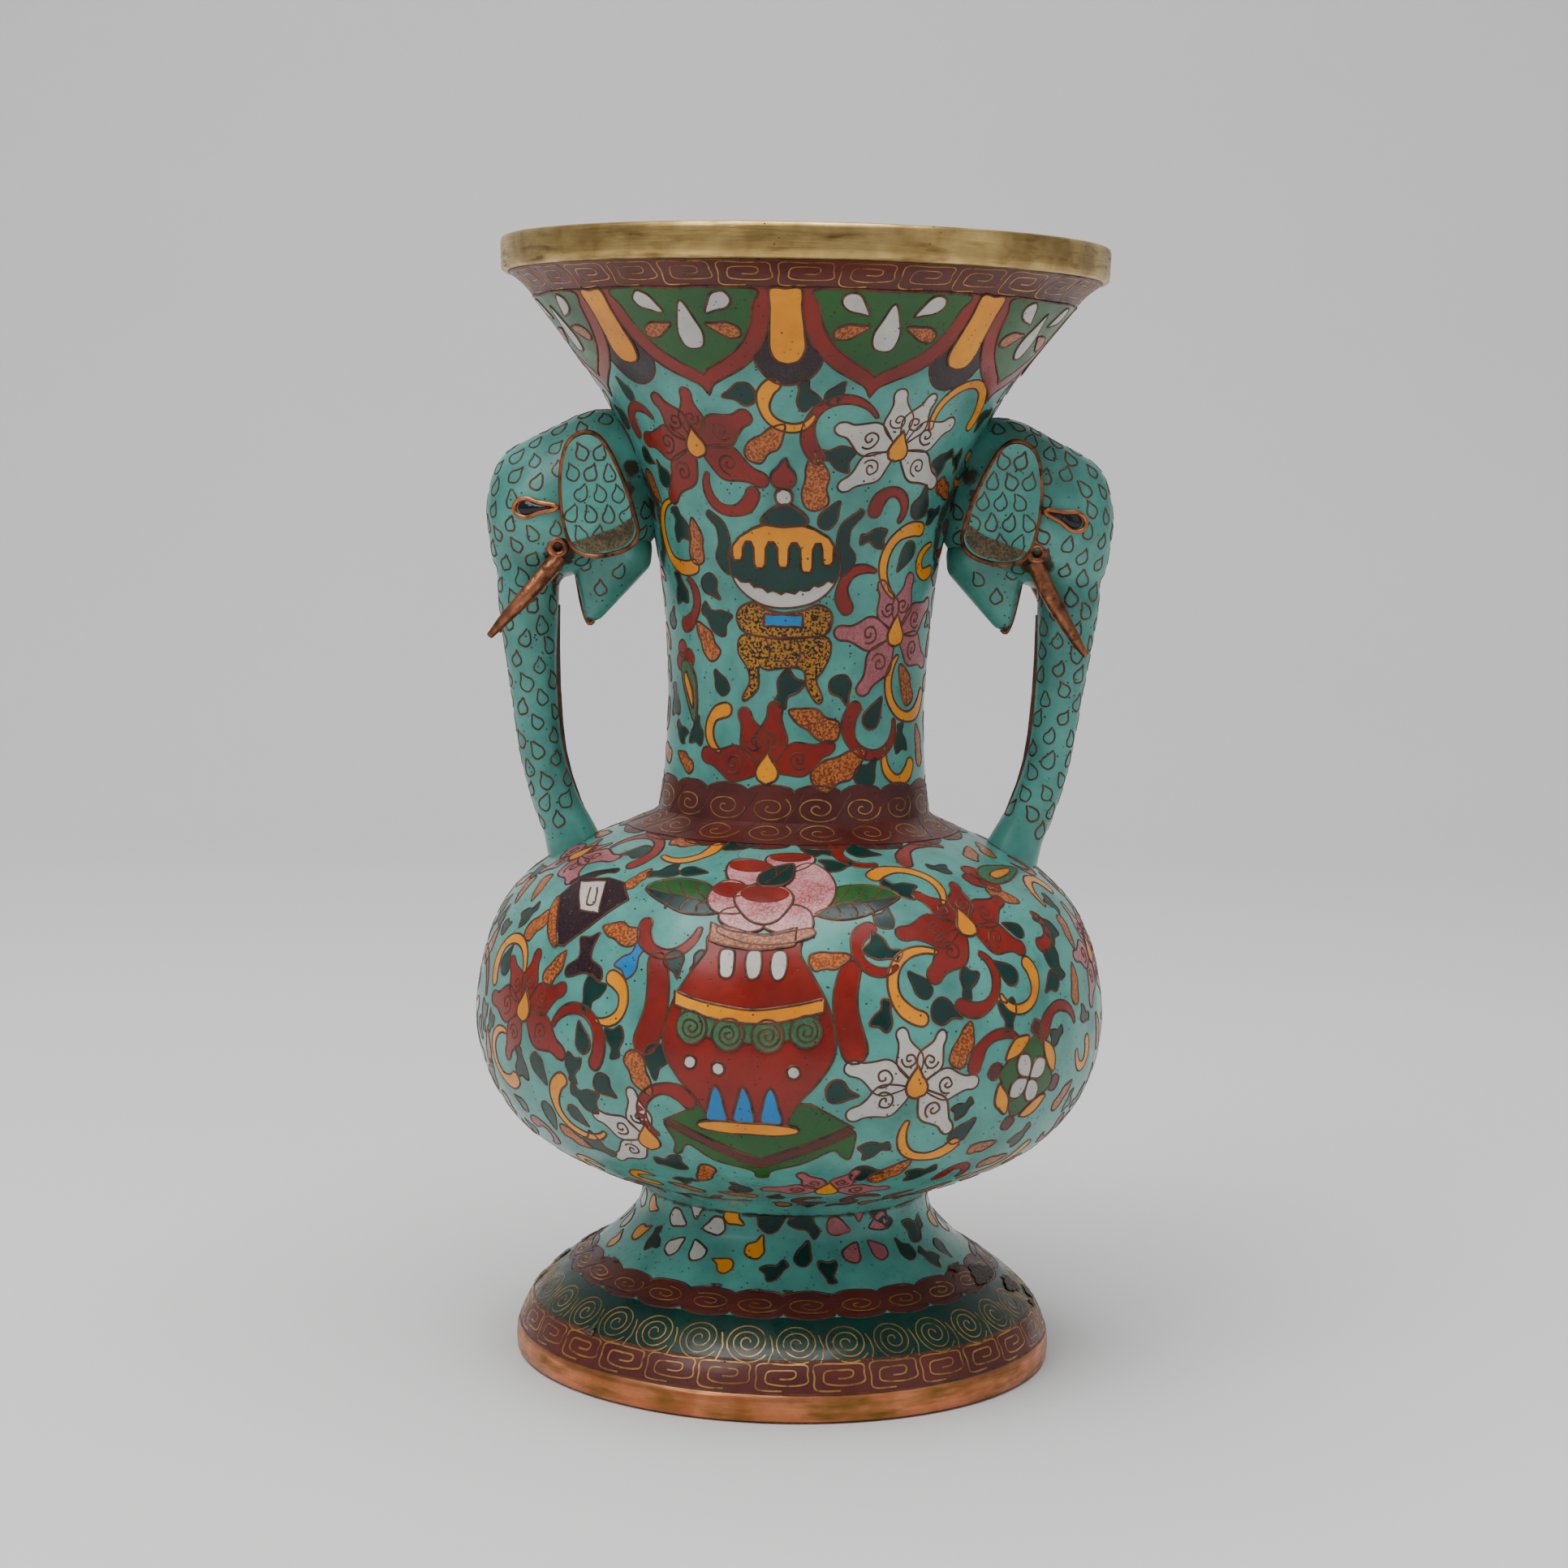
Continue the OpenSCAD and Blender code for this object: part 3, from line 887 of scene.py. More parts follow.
@dataclass(frozen=True)
class Lotus(Figure):
    """A lotus: pointed petals, each with a curled wire, round a yellow drop."""

    colour: Colour
    petals: tuple[tuple[float, float], ...]     # (direction, length)
    drop: float = 2.6                           # radius of the drop

    def draw(self, inlay: Inlay, shift: float) -> None:
        """Lays the petals, then the drop over their roots.

        Args:
            inlay: what it is laid into.
            shift: degrees to move it round the vase.
        """
        for direction, length in self.petals:
            spot = self.spot(shift, direction - 90)
            half = ((0, 0.08), (0.07, 0.14), (0.15, 0.26), (0.225, 0.4), (0.225, 0.52), (0.15, 0.66),
                    (0.1, 0.78), (0.1, 0.9), (0.06, 0.98), (0, 1))
            inlay.cell(spot, mirrored([(x * length, y * length) for x, y in half]), self.colour)
            side = 1 if direction < 90 else -1
            inlay.wire(spot, spiral(0.14 * length, 1.5, (0, 0.47 * length), 200) * (side, 1))
        drop = mirrored([(0, -1), (0.72, -0.72), (0.95, 0), (0.55, 0.8), (0.12, 1.5), (0, 1.8)])
        inlay.cell(self.spot(shift), drop * self.drop, Colour.YELLOW, 2)


@dataclass(frozen=True)
class Hook:
    """A curling stem through three (angle, height) points, thick and round at its last."""

    start: Point
    middle: Point
    end: Point
    colour: Colour = Colour.RED
    width: float = 1.1                  # half its width at its middle

    def draw(self, inlay: Inlay, shift: float) -> None:
        """Lays the stem as one brush stroke.

        Args:
            inlay: what it is laid into.
            shift: degrees to move it round the vase.
        """
        about = Spot(*self.middle)
        path = bow(*(inlay.surface.flat(about, p) for p in (self.start, self.middle, self.end)))
        outline = stroke(path, [self.width * w for w in (0.5, 0.85, 1, 1, 1.05, 1.5, 1.45)])
        inlay.cell(Spot(about.angle + shift, about.height), outline, self.colour)


@dataclass(frozen=True)
class Curl(Figure):
    """A short stem curled into three quarters of a circle."""

    turn: float
    radius: float
    colour: Colour

    def draw(self, inlay: Inlay, shift: float) -> None:
        """Lays the stem as one brush stroke.

        Args:
            inlay: what it is laid into.
            shift: degrees to move it round the vase.
        """
        a = np.radians(np.arange(-110, 100, 9))
        path = np.column_stack((np.cos(a), np.sin(a))) * self.radius * (1.15, 0.95)
        inlay.cell(self.spot(shift, self.turn),
                   stroke(path, (0.5, 0.9, 1.05, 1.05, 1.1, 1.5, 1.4)), self.colour)


class LeafShape(Enum):
    """Outlines of small leaves, one long, their tips towards +X."""

    COMMA = ((0.5, 0.1), (0.16, 0.16), (-0.12, 0.36), (-0.42, 0.26), (-0.5, -0.04), (-0.34, -0.32),
             (-0.04, -0.34), (0.24, -0.12))
    FIN = ((0.5, 0.22), (0.18, 0.12), (-0.1, 0.3), (-0.46, 0.34), (-0.4, 0.04), (-0.5, -0.3),
           (-0.1, -0.36), (0.26, -0.16), (0.5, -0.12))
    BLADE = ((0.5, 0.02), (0.26, 0.15), (0.04, 0.18), (-0.2, 0.24), (-0.42, 0.2), (-0.5, 0.02),
             (-0.4, -0.18), (-0.14, -0.17), (0.06, -0.22), (0.28, -0.14))
    DROP = ((0.5, 0), (0.2, 0.16), (-0.14, 0.28), (-0.42, 0.2), (-0.5, 0), (-0.42, -0.2),
            (-0.14, -0.28), (0.2, -0.16))


@dataclass(frozen=True)
class Leaf(Figure):
    """A small leaf that fills the ground between the stems."""

    turn: float
    length: float
    colour: Colour = Colour.DEEP
    shape: LeafShape = LeafShape.COMMA
    flip: bool = False

    def draw(self, inlay: Inlay, shift: float) -> None:
        """Lays the leaf.

        Args:
            inlay: what it is laid into.
            shift: degrees to move it round the vase.
        """
        outline = curve([(x * self.length, y * self.length * (-1 if self.flip else 1))
                         for x, y in self.shape.value], closed=True)
        inlay.cell(self.spot(shift, self.turn), outline[::-1] if self.flip else outline, self.colour)


@dataclass(frozen=True)
class Filler:
    """Small figures that fill the ground left between the larger ones."""

    gap: float                          # the free radius that each needs
    tries: int
    length: float
    colours: tuple[Colour, ...]
    shapes: tuple[LeafShape, ...] = ()  # curled stems if there are none

    def figure(self, pick: random.Random, angle: float, height: float) -> Curl | Leaf:
        """Picks the next figure.

        Args:
            pick: the source of chance.
            angle: the angle that it lies at.
            height: the height that it lies at.

        Returns:
            The figure.
        """
        turn, colour = pick.uniform(0, 360), pick.choice(self.colours)
        if not self.shapes:
            return Curl(angle, height, turn, self.length / 2, colour)
        return Leaf(angle, height, turn, self.length, colour, pick.choice(self.shapes), pick.random() < 0.5)


@dataclass(frozen=True)
class Pod(Figure):
    """A grey-green seed pod with a yellow core and a red cap."""

    turn: float
    length: float

    def draw(self, inlay: Inlay, shift: float) -> None:
        """Lays the pod, its core and three lobes of its cap.

        Args:
            inlay: what it is laid into.
            shift: degrees to move it round the vase.
        """
        k = self.length
        spot = self.spot(shift, self.turn)
        cap = ((0.14, 0.42, 0.14), (-0.1, 0.44, 0.13), (0.02, 0.6, 0.13))
        for x, y, r in cap:
            inlay.cell(spot, circle(r * k, (x * k, y * k)), Colour.RED)
        pod = curve([(-0.04 * k, -0.5 * k), (0.12 * k, -0.2 * k), (0.2 * k, 0.12 * k),
                     (0.1 * k, 0.4 * k), (-0.08 * k, 0.4 * k), (-0.14 * k, 0.1 * k),
                     (-0.1 * k, -0.24 * k)], closed=True)
        inlay.cell(spot, pod, Colour.OLIVE, 2)
        core = curve([(0, -0.3 * k), (0.07 * k, 0), (0.03 * k, 0.24 * k), (-0.05 * k, 0.2 * k),
                      (-0.05 * k, -0.08 * k)], closed=True)
        inlay.cell(spot, core, Colour.YELLOW, 3)


def part(inlay: Inlay, spot: Spot, colour: Colour, layer: int, *points: Point,
         soft: bool = True) -> None:
    """Lays one cell of a larger figure.

    Args:
        inlay: what it is laid into.
        spot: where the figure lies.
        colour: the cell's enamel.
        layer: the cell's layer.
        *points: what its outline passes through.
        soft: whether the outline is smooth rather than straight between them.
    """
    outline = curve(points, closed=True) if soft else straight(points)
    inlay.cell(spot, outline, colour, layer)


@dataclass(frozen=True)
class Censer(Figure):
    """A lidded pot with a dripping yellow glaze, on a footed stand."""

    def draw(self, inlay: Inlay, shift: float) -> None:
        """Lays the pot from its handles to its lid, then the stand.

        Args:
            inlay: what it is laid into.
            shift: degrees to move it round the vase.
        """
        spot = self.spot(shift)
        for path, widths in (
                (((-17.6, 10.8), (-14.6, 8.4), (-13.6, 4.6), (-14.2, 1.2), (-12.4, -1.2)),
                 (0.7, 1.1, 1.4, 1.6, 1.2)),
                (((17, 11.8), (13.6, 8.6), (12.8, 4.4), (14.2, 1.4), (12.6, -1)),
                 (0.7, 1.2, 1.3, 1.6, 1.2))):
            inlay.cell(spot, stroke(curve(path), widths), Colour.DEEP)
        body = [(12.1 * math.cos(a), 9.4 * math.sin(a)) for a in np.arange(48) * math.tau / 48]
        inlay.cell(spot, curve(body, closed=True), Colour.WHITE, 2)
        low = [(x, -4.6 - 1.5 * math.cos(x / 4.2) + 0.4 * math.sin(2.2 * x)) for x in
               np.arange(-10.6, 10.7, 1.0)]
        top = [(12.1 * math.cos(a), 9.4 * math.sin(a)) for a in np.radians(np.arange(-18, 199, 8))]
        inlay.cell(spot, np.array(low + top), Colour.DEEP, 3)
        drips = ((-10.2, 1.2), (-5.3, -0.4), (-0.2, -0.2), (4.8, -1.2), (9.4, 0.4))
        edge = []
        for x, y in drips:
            edge += [(x - 1.25, 3.6), (x - 1.15, y + 0.6), (x - 0.7, y - 0.3), (x + 0.7, y - 0.3),
                     (x + 1.15, y + 0.6), (x + 1.25, 3.6), (x + 1.9, 5.0), (x + 3.0, 5.0)]
        arch = [(10.8, 4.3), (9.6, 6.2), (6.6, 8.0), (3.2, 9.0), (-3.2, 9.0), (-6.8, 7.8),
                (-9.8, 6.0), (-11.3, 4.2)]
        inlay.cell(spot, straight(edge[:-2] + arch, step=0.6), Colour.YELLOW, 4)
        part(inlay, spot, Colour.DEEP, 5, (-4.8, 9.2), (0, 8.5), (4.9, 9.2), (4, 11.4), (0.4, 13.4),
             (-3.4, 11.6))
        inlay.cell(spot, circle(1.8, (0, 15)), Colour.WHITE, 5)
        part(inlay, spot, Colour.RED, 5, (0, 16.8), (2.3, 18), (2.4, 20.2), (1, 21.8), (0.5, 23.6),
             (-0.9, 21.8), (-2.6, 20.2), (-2.2, 17.8))
        self.stand(inlay, spot)

    def stand(self, inlay: Inlay, spot: Spot) -> None:
        """Lays the stand's top with its blue tablet, and its apron and legs.

        Args:
            inlay: what it is laid into.
            spot: where the censer lies.
        """
        part(inlay, spot, Colour.SPECKLED, 3, (-9.8, -9.8), (-6.4, -8.4), (-4.2, -9.6), (0, -10.6),
             (4.4, -9.8), (7.4, -8.6), (10, -10), (10.2, -13), (8, -15.2), (0, -15.8), (-8, -15.2),
             (-10.4, -12.6))
        part(inlay, spot, Colour.SPECKLED, 2, (-8.8, -15.6), (0, -16.2), (9, -15.6), (10.3, -18.8),
             (8.6, -22.8), (7.2, -25), (8.6, -29), (7.4, -30), (5.2, -26.6), (4.4, -22.8),
             (0.8, -22.4), (-3.4, -23), (-5.4, -22.4), (-5.6, -27), (-8.6, -30), (-9, -29),
             (-7.4, -25.8), (-8, -22.6), (-10.2, -19))
        for x in (-3.4, 3.2):
            inlay.wire(spot, curve([(x - 0.4, -16.2), (x + 0.5, -19), (x - 0.6, -22.4)]), 2)
        part(inlay, spot, Colour.BLUE, 4, (-4.1, -10.8), (4, -10.8), (4, -13.4), (-4.1, -13.4),
             soft=False)


@dataclass(frozen=True)
class Jar(Figure):
    """A big red jar with two handles, white bars, a yellow girdle, spirals and blue flames."""

    def draw(self, inlay: Inlay, shift: float) -> None:
        """Lays the handles, the body and then what is on it.

        Args:
            inlay: what it is laid into.
            shift: degrees to move it round the vase.
        """
        spot = self.spot(shift)
        for side in (-1, 1):
            path = curve([(side * 20.4, 13.4), (side * 19.8, 8), (side * 20.4, 2.4),
                          (side * 22.2, -3)])
            inlay.cell(spot, stroke(path, (2.3, 2.5, 2.5, 2.8, 2.8)), Colour.RED)
        half = [(0, -20.6), (7.4, -20.6), (8.6, -17.4), (11, -13.6), (14.4, -10), (17.4, -5.6),
                (18.2, -2), (17.6, 2), (15.8, 7), (12.8, 12), (9.8, 16.6), (9, 20.6), (0, 20.2)]
        inlay.cell(spot, mirrored(half), Colour.RED, 2)
        inlay.cell(spot, self.sagging(14.4, 2.4, -1.9)[::-1], Colour.OLIVE, 3)
        for x, y in ((-11.9, 0.8), (-4.1, -0.2), (4.1, -0.2), (11.9, 0.8)):
            inlay.cell(spot, circle(3.3, (x, y)), Colour.OLIVE, 4)
            inlay.wire(spot, spiral(2.6, 2.0, (x, y), 60), 4, width=0.34)
        inlay.cell(spot, self.sagging(15.8, 2.2, 5.0), Colour.YELLOW, 4)
        for x in (-5.2, 0.4, 5.6):
            part(inlay, spot, Colour.WHITE, 3, (x - 1.4, 12.4), (x, 11.2), (x + 1.4, 12.4),
                 (x + 1.35, 17), (x - 1.35, 17))
        for x, y in ((-12, -6.4), (-6, -7.4), (9.6, -7.6)):
            inlay.cell(spot, circle(1.35, (x, y)), Colour.WHITE, 3)
        for x in (-6.4, -0.6, 5):
            part(inlay, spot, Colour.BLUE, 3, (x - 2, -18.6), (x + 2, -18.8), (x + 1.5, -14.6),
                 (x + 0.3, -11.4), (x - 0.5, -11.4), (x - 1.6, -14.6))
        part(inlay, spot, Colour.YELLOW, 4, (-8.6, -19), (8.6, -19.4), (8.6, -21.6), (-8.4, -21.2))
        xs = np.arange(-9.4, 9.5, 0.9)
        mouth = [(x, 17.6 + 1.4 * (x / 9) ** 2) for x in xs] + [(x, 21 + 2.2 * (x / 9) ** 2)
                                                               for x in xs[::-1]]
        inlay.cell(spot, np.array(mouth), Colour.GOLDSTONE, 4)

    @staticmethod
    def sagging(half: float, first: float, second: float) -> np.ndarray:
        """The outline of a band round the jar, lower in the middle than at its sides.

        Args:
            half: half its length.
            first: the height of one edge at the middle.
            second: the height of the other.

        Returns:
            The outline, along the first edge and back along the second.
        """
        xs = np.arange(-half, half + 0.1, 0.8)
        sag = 3.0 * (abs(xs) / 16) ** 1.8
        return np.concatenate((np.column_stack((xs, first + sag)),
                               np.column_stack((xs, second + sag))[::-1]))


@dataclass(frozen=True)
class Table(Figure):
    """A low green table seen from its corner, with a brick stripe along its two near edges."""

    def draw(self, inlay: Inlay, shift: float) -> None:
        """Lays the apron with its legs, the stripe and the top.

        Args:
            inlay: what it is laid into.
            shift: degrees to move it round the vase.
        """
        spot = self.spot(shift)
        part(inlay, spot, Colour.GREEN, 1, (-20.4, 0), (-16.5, -1.4), (0, -9), (16.4, -2), (20, -0.8),
             (19.6, -5.6), (18.6, -8.4), (17, -7.4), (15.2, -5.8), (8.8, -9.6), (2.4, -12.2),
             (1.2, -14.8), (-1, -14.8), (-2, -12.4), (-9.4, -9.6), (-15, -5.4), (-17.2, -8.4),
             (-18.6, -8.2), (-18.2, -5))
        part(inlay, spot, Colour.ROSE, 2, (-20.2, -0.4), (-19, 0.8), (0, -8.4), (18.6, 0.4),
             (19.8, -1), (0, -11.2), soft=False)
        part(inlay, spot, Colour.GREEN, 1, (-20.4, 0.4), (-10.6, 6), (10.6, 6), (19.8, 0.4),
             (0, -8.8), soft=False)


@dataclass(frozen=True)
class Peony(Figure):
    """A blushing peony with a dark leaf at its heart and a pair of green leaves."""

    def draw(self, inlay: Inlay, shift: float) -> None:
        """Lays the two side leaves, then the petals from the outside in.

        Args:
            inlay: what it is laid into.
            shift: degrees to move it round the vase.
        """
        spot = self.spot(shift)
        for side in (-1, 1):
            whole = ((10, -5.6), (15, -7), (20.6, -6), (28, -1.2), (23, 2.8), (15, 3), (10.6, -1.2))
            low = ((10, -5.6), (15, -7), (20.6, -6), (28, -1.2), (21, -2.2), (15, -3))
            for colour, layer, leaf in ((Colour.GREEN, 1, whole), (Colour.DEEP, 2, low)):
                leaf = [(side * x, y) for x, y in leaf]
                part(inlay, spot, colour, layer, *(leaf if side > 0 else leaf[::-1]))
            for x in (13.4, 17, 20.6):
                inlay.wire(spot, curve([(side * x, -2.8), (side * (x + 2), -0.4), (side * (x + 3.2), 2)]))
                inlay.wire(spot, curve([(side * x, -3), (side * (x + 1.6), -4.6), (side * (x + 1.8), -6.2)]),
                           2)
        petals = ((3.2, 12, 5.2, 3.8), (-5.2, 7.6, 5.2, 5), (8, 1.8, 5.4, 9.2), (-8.2, -1.6, 4.8, 5.2),
                  (4.6, -7.4, 5.4, 3.8), (-4.6, -7.2, 5.2, 3.4), (-1, -2.8, 6, 5.6))
        for k, (x, y, w, h) in enumerate(petals):
            a = np.arange(30) * math.tau / 30
            lobed = 1 + 0.07 * np.sin(3 * a + k)
            ring = np.column_stack((x + w * lobed * np.cos(a), y + h * lobed * np.sin(a)))
            inlay.cell(spot, curve(ring, closed=True), Colour.BLUSH, 2 + k // 3)
            if k in (0, 1, 3, 6):
                cap = np.column_stack((x + 0.86 * w * np.cos(a), y + 0.42 * h + 0.46 * h * np.sin(a)))
                inlay.cell(spot, curve(cap, closed=True), Colour.RED, 3 + k // 3, wired=False)
        part(inlay, spot, Colour.DEEP, 6, (-2.4, 2.4), (1.6, 2.2), (4.2, 5), (4, 10.4), (0.2, 9), (-2.6, 6))
        inlay.wire(spot, curve([(-1.4, 2.8), (1, 5.6), (3.4, 9.6)]), 6)
        inlay.wire(spot, curve([(1, 5.6), (0.8, 7.4), (0.4, 8.8)]), 6)
        part(inlay, spot, Colour.GOLDSTONE, 4, (-9, -9.4), (0, -11.4), (9, -9.4), (9.4, -11.6),
             (0, -13.6), (-9.4, -11.6))


@dataclass(frozen=True)
class Coin(Figure):
    """A green square coin with four white petals, yellow lobes on its sides, knots at its corners."""

    turn: float = -14

    def draw(self, inlay: Inlay, shift: float) -> None:
        """Lays the lobes and the knots, then the coin and its petals.

        Args:
            inlay: what it is laid into.
            shift: degrees to move it round the vase.
        """
        spot = self.spot(shift, self.turn)
        for k in range(4):
            knot = rotated(((9.4, -1.6), (12, -1.4), (12.4, 1.2), (9.8, 1.6)), 90 * k)
            part(inlay, spot, Colour.ROSE, 1, *knot)
            lobe = rotated(((8.6, 2.4), (7.6, 6.6), (3, 8.6), (4.4, 5)), 90 * k)
            part(inlay, spot, Colour.YELLOW, 2, *lobe)
        part(inlay, spot, Colour.GREEN, 1, (9.4, 0), (5, 4.8), (0, 9), (-4.8, 4.8), (-9.4, 0),
             (-4.8, -4.6), (0, -9), (4.8, -4.8))
        for k in range(4):
            petal = rotated(((0.5, 0), (2.6, -2), (5, -1.9), (6.2, 0), (5, 1.9), (2.6, 2)), 90 * k + 45)
            part(inlay, spot, Colour.WHITE, 2, *petal)


@dataclass(frozen=True)
class Emblem(Figure):
    """An aubergine block with a goldstone end and a white tablet, on a waisted foot."""

    def draw(self, inlay: Inlay, shift: float) -> None:
        """Lays the foot, the block and the tablet.

        Args:
            inlay: what it is laid into.
            shift: degrees to move it round the vase.
        """
        spot = self.spot(shift)
        part(inlay, spot, Colour.PLUM, 1, (0, -7.6), (3, -7), (5, -6), (4.8, -9.6), (5.4, -12), (8.6, -13.6),
             (9, -16), (4.4, -15), (-0.6, -16.4), (-1.2, -14.4), (1.6, -12), (1.2, -10))
        part(inlay, spot, Colour.PLUM, 1, (-14, 5), (-11, 8.4), (-7.6, 10.4), (-3.6, 12), (-3, 10.6),
             (-6, 9.4), (-11, 5))
        part(inlay, spot, Colour.PLUM, 2, (-13.8, 1.2), (-11.4, 6.4), (-3, 8.4), (2.2, 7.6), (7.2, 3),
             (1, -5), (-4, -10.2), (-7.6, -10), (-12, -5), soft=False)
        part(inlay, spot, Colour.GOLDSTONE, 3, (-13.8, 0.6), (-10.6, -3.4), (-6.4, -10.2), (-9.4, -9.4),
             (-12.6, -5.6), (-14.2, -2))
        part(inlay, spot, Colour.WHITE, 3, (-4.2, -1.4), (2, -1.6), (-2.6, 7.2), (-10.4, 5.6), soft=False)
        inlay.wire(spot, curve([(-5.6, 4.6), (-3.6, 1), (-2.4, 0), (-1, 0.6), (-1.6, 2), (-3.6, 5)]), 3)


@dataclass(frozen=True)
class DotFlower(Figure):
    """Five separate drops round a point."""

    colour: Colour

    def draw(self, inlay: Inlay, shift: float) -> None:
        """Lays the drops, their tips towards the middle.

        Args:
            inlay: what it is laid into.
            shift: degrees to move it round the vase.
        """
        for k in range(5):
            drop = curve([(5.3 - 5.6 * x, 7.4 * y) for x, y in LeafShape.DROP.value], closed=True)[::-1]
            inlay.cell(self.spot(shift, 90 + 72 * k), drop, self.colour)


# ---- bands -------------------------------------------------------------------------------------


@dataclass(frozen=True)
class FretBand:
    """A maroon band of rounded key-fret units in wire."""

    low: float
    high: float
    count: int
    wire_w: float       # half the width of its wire

    def draw(self, inlay: Inlay) -> None:
        """Lays the band and its units.

        Args:
            inlay: what it is laid into.
        """
        inlay.band(self.low, self.high, Colour.MAROON)
        surface = inlay.surface
        tall = surface.along(self.high) - surface.along(self.low)
        wide = math.tau * surface.radius((self.low + self.high) / 2) / self.count
        path = ((0.5, 0.04), (0.06, 0.06), (0.03, 0.5), (0.06, 0.94), (0.5, 0.96), (0.93, 0.94),
                (0.96, 0.6), (0.94, 0.3), (0.55, 0.22), (0.24, 0.28), (0.2, 0.5), (0.26, 0.72),
                (0.5, 0.75), (0.72, 0.72), (0.74, 0.55), (0.66, 0.46), (0.46, 0.46))
        unit = curve([((x - 0.5) * wide * 0.94, (y * 0.86 + 0.07) * tall) for x, y in path], step=0.5)
        for k in range(self.count):
            inlay.wire(Spot(360 * k / self.count, self.low), unit, gold=True, width=self.wire_w)
        inlay.ring(self.low)
        inlay.ring(self.high)


@dataclass(frozen=True)
class CloudBand:
    """A maroon band whose scalloped lobes each hold a curled wire."""

    low: float
    high: float
    count: int
    lobes_up: float = 1.6       # how far the lobes stand past the upper edge
    lobes_down: float = 0.0     # and past the lower edge

    def draw(self, inlay: Inlay) -> None:
        """Lays the band, its lobes and their curls.

        Args:
            inlay: what it is laid into.
        """
        surface = inlay.surface
        inlay.band(self.low, self.high, Colour.MAROON, 2)
        middle = (self.low + self.high) / 2
        tall = surface.along(self.high) - surface.along(self.low)
        wide = math.tau * surface.radius(middle) / self.count
        for k in range(self.count):
            angle = 360 * (k + 0.5) / self.count
            for height, reach in ((self.high, self.lobes_up), (self.low, self.lobes_down)):
                if reach:
                    a = np.arange(28) * math.tau / 28
                    lobe = np.column_stack((0.5 * wide * np.cos(a), reach * 1.25 * np.sin(a)))
                    inlay.cell(Spot(angle, height), lobe, Colour.MAROON, 1)
            turns = spiral(1.0, 1.9, start=40 * (k % 5)) * (0.46 * wide, 0.42 * tall + 0.3)
            inlay.wire(Spot(angle, middle), turns, 2, gold=True, width=0.19)
            slant = curve([(0.3 * wide, -0.5 * tall), (0.5 * wide, 0), (0.7 * wide, 0.5 * tall)])
            inlay.wire(Spot(angle, middle), slant, 2, width=0.25)


@dataclass(frozen=True)
class SpiralBand:
    """A dark green band of round spirals in bright wire."""

    low: float
    high: float
    count: int

    def draw(self, inlay: Inlay) -> None:
        """Lays the band and its spirals.

        Args:
            inlay: what it is laid into.
        """
        inlay.band(self.low, self.high, Colour.DEEP)
        surface = inlay.surface
        middle = self.low + 0.42 * (self.high - self.low)
        size = 0.47 * math.tau * surface.radius(middle) / self.count
        for k in range(self.count):
            spot = Spot(360 * (k + 0.3) / self.count, middle)
            inlay.wire(spot, spiral(size, 3.1, start=-70), gold=True, width=0.2)
            inlay.wire(spot, curve([(size * 0.9, size * 0.4), (size * 1.1, -size * 0.3),
                                    (size * 0.96, -size * 0.95)]), gold=True, width=0.2)


@dataclass(frozen=True)
class Lappets:
    """The collar under the mouth: green lappets edged in red, and yellow bars between them."""

    top: float
    count: int
    first: float        # the angle of the first bar

    def draw(self, inlay: Inlay) -> None:
        """Lays each bar with its plum cup, and each lappet with its drops.

        Args:
            inlay: what it is laid into.
        """
        for k in range(self.count):
            angle = self.first + 360 * k / self.count
            bar = Spot(angle, self.top)
            part(inlay, bar, Colour.PLUM, 1, (-7.2, -12.4), (-4, -9), (4, -9), (7.2, -12.4),
                 (7.2, -17.8), (4.4, -22.4), (0, -24), (-4.4, -22.4), (-7.2, -17.8))
            self.lappet(inlay, Spot(angle + 180 / self.count, self.top))
            half = [(0, -18.6), (2.4, -17.8), (3.7, -15), (3.6, -11), (3.3, -5), (3.3, 0), (0, 0)]
            inlay.cell(bar, mirrored(half), Colour.YELLOW, 3)

    def lappet(self, inlay: Inlay, spot: Spot) -> None:
        """Lays one lappet.

        Args:
            inlay: what it is laid into.
            spot: the middle of its upper edge.
        """
        red = [(0, -26.6), (1.4, -24.2), (4, -22.6), (9.6, -19.4), (14.2, -15), (17.4, -9.8),
               (19.2, -4.6), (19.9, 0), (0, 0)]
        inlay.cell(spot, mirrored(red), Colour.RED, 2)
        green = [(0, -21.4), (1.6, -20), (4.8, -18.2), (9.8, -14.4), (13.4, -9.4), (15.6, -4),
                 (16.7, 0), (0, 0)]
        inlay.cell(spot, mirrored(green), Colour.GREEN, 3)
        drop = np.array(LeafShape.DROP.value)
        for x, y, turn, length, fat, colour in (
                (-8, -3.6, -38, 7.6, 0.95, Colour.WHITE), (8, -3.6, 218, 7.6, 0.95, Colour.WHITE),
                (0, -9, 90, 12, 0.85, Colour.WHITE), (-7.6, -10, 18, 7.6, 0.85, Colour.GOLDSTONE),
                (7.6, -10, 162, 7.6, 0.85, Colour.GOLDSTONE)):
            points = rotated(drop * (length, length * fat), turn) + (x, y)
            inlay.cell(spot, curve(points, closed=True), colour, 4)


@dataclass(frozen=True)
class Chip(Figure):
    """A bare patch where enamel has flaked from the copper."""

    wide: float
    tall: float

    def draw(self, inlay: Inlay, shift: float) -> None:
        """Lays the ragged patch above everything round it.

        Args:
            inlay: what it is laid into.
            shift: degrees to move it round the vase.
        """
        a = np.arange(26) * math.tau / 26
        ragged = 1 + 0.2 * np.sin(3 * a + self.angle) + 0.13 * np.sin(7 * a + self.height)
        outline = np.column_stack((self.wide / 2 * np.cos(a), self.tall / 2 * np.sin(a))) * ragged[:, None]
        inlay.cell(self.spot(shift), outline, Colour.CHIP, 4, wired=False)


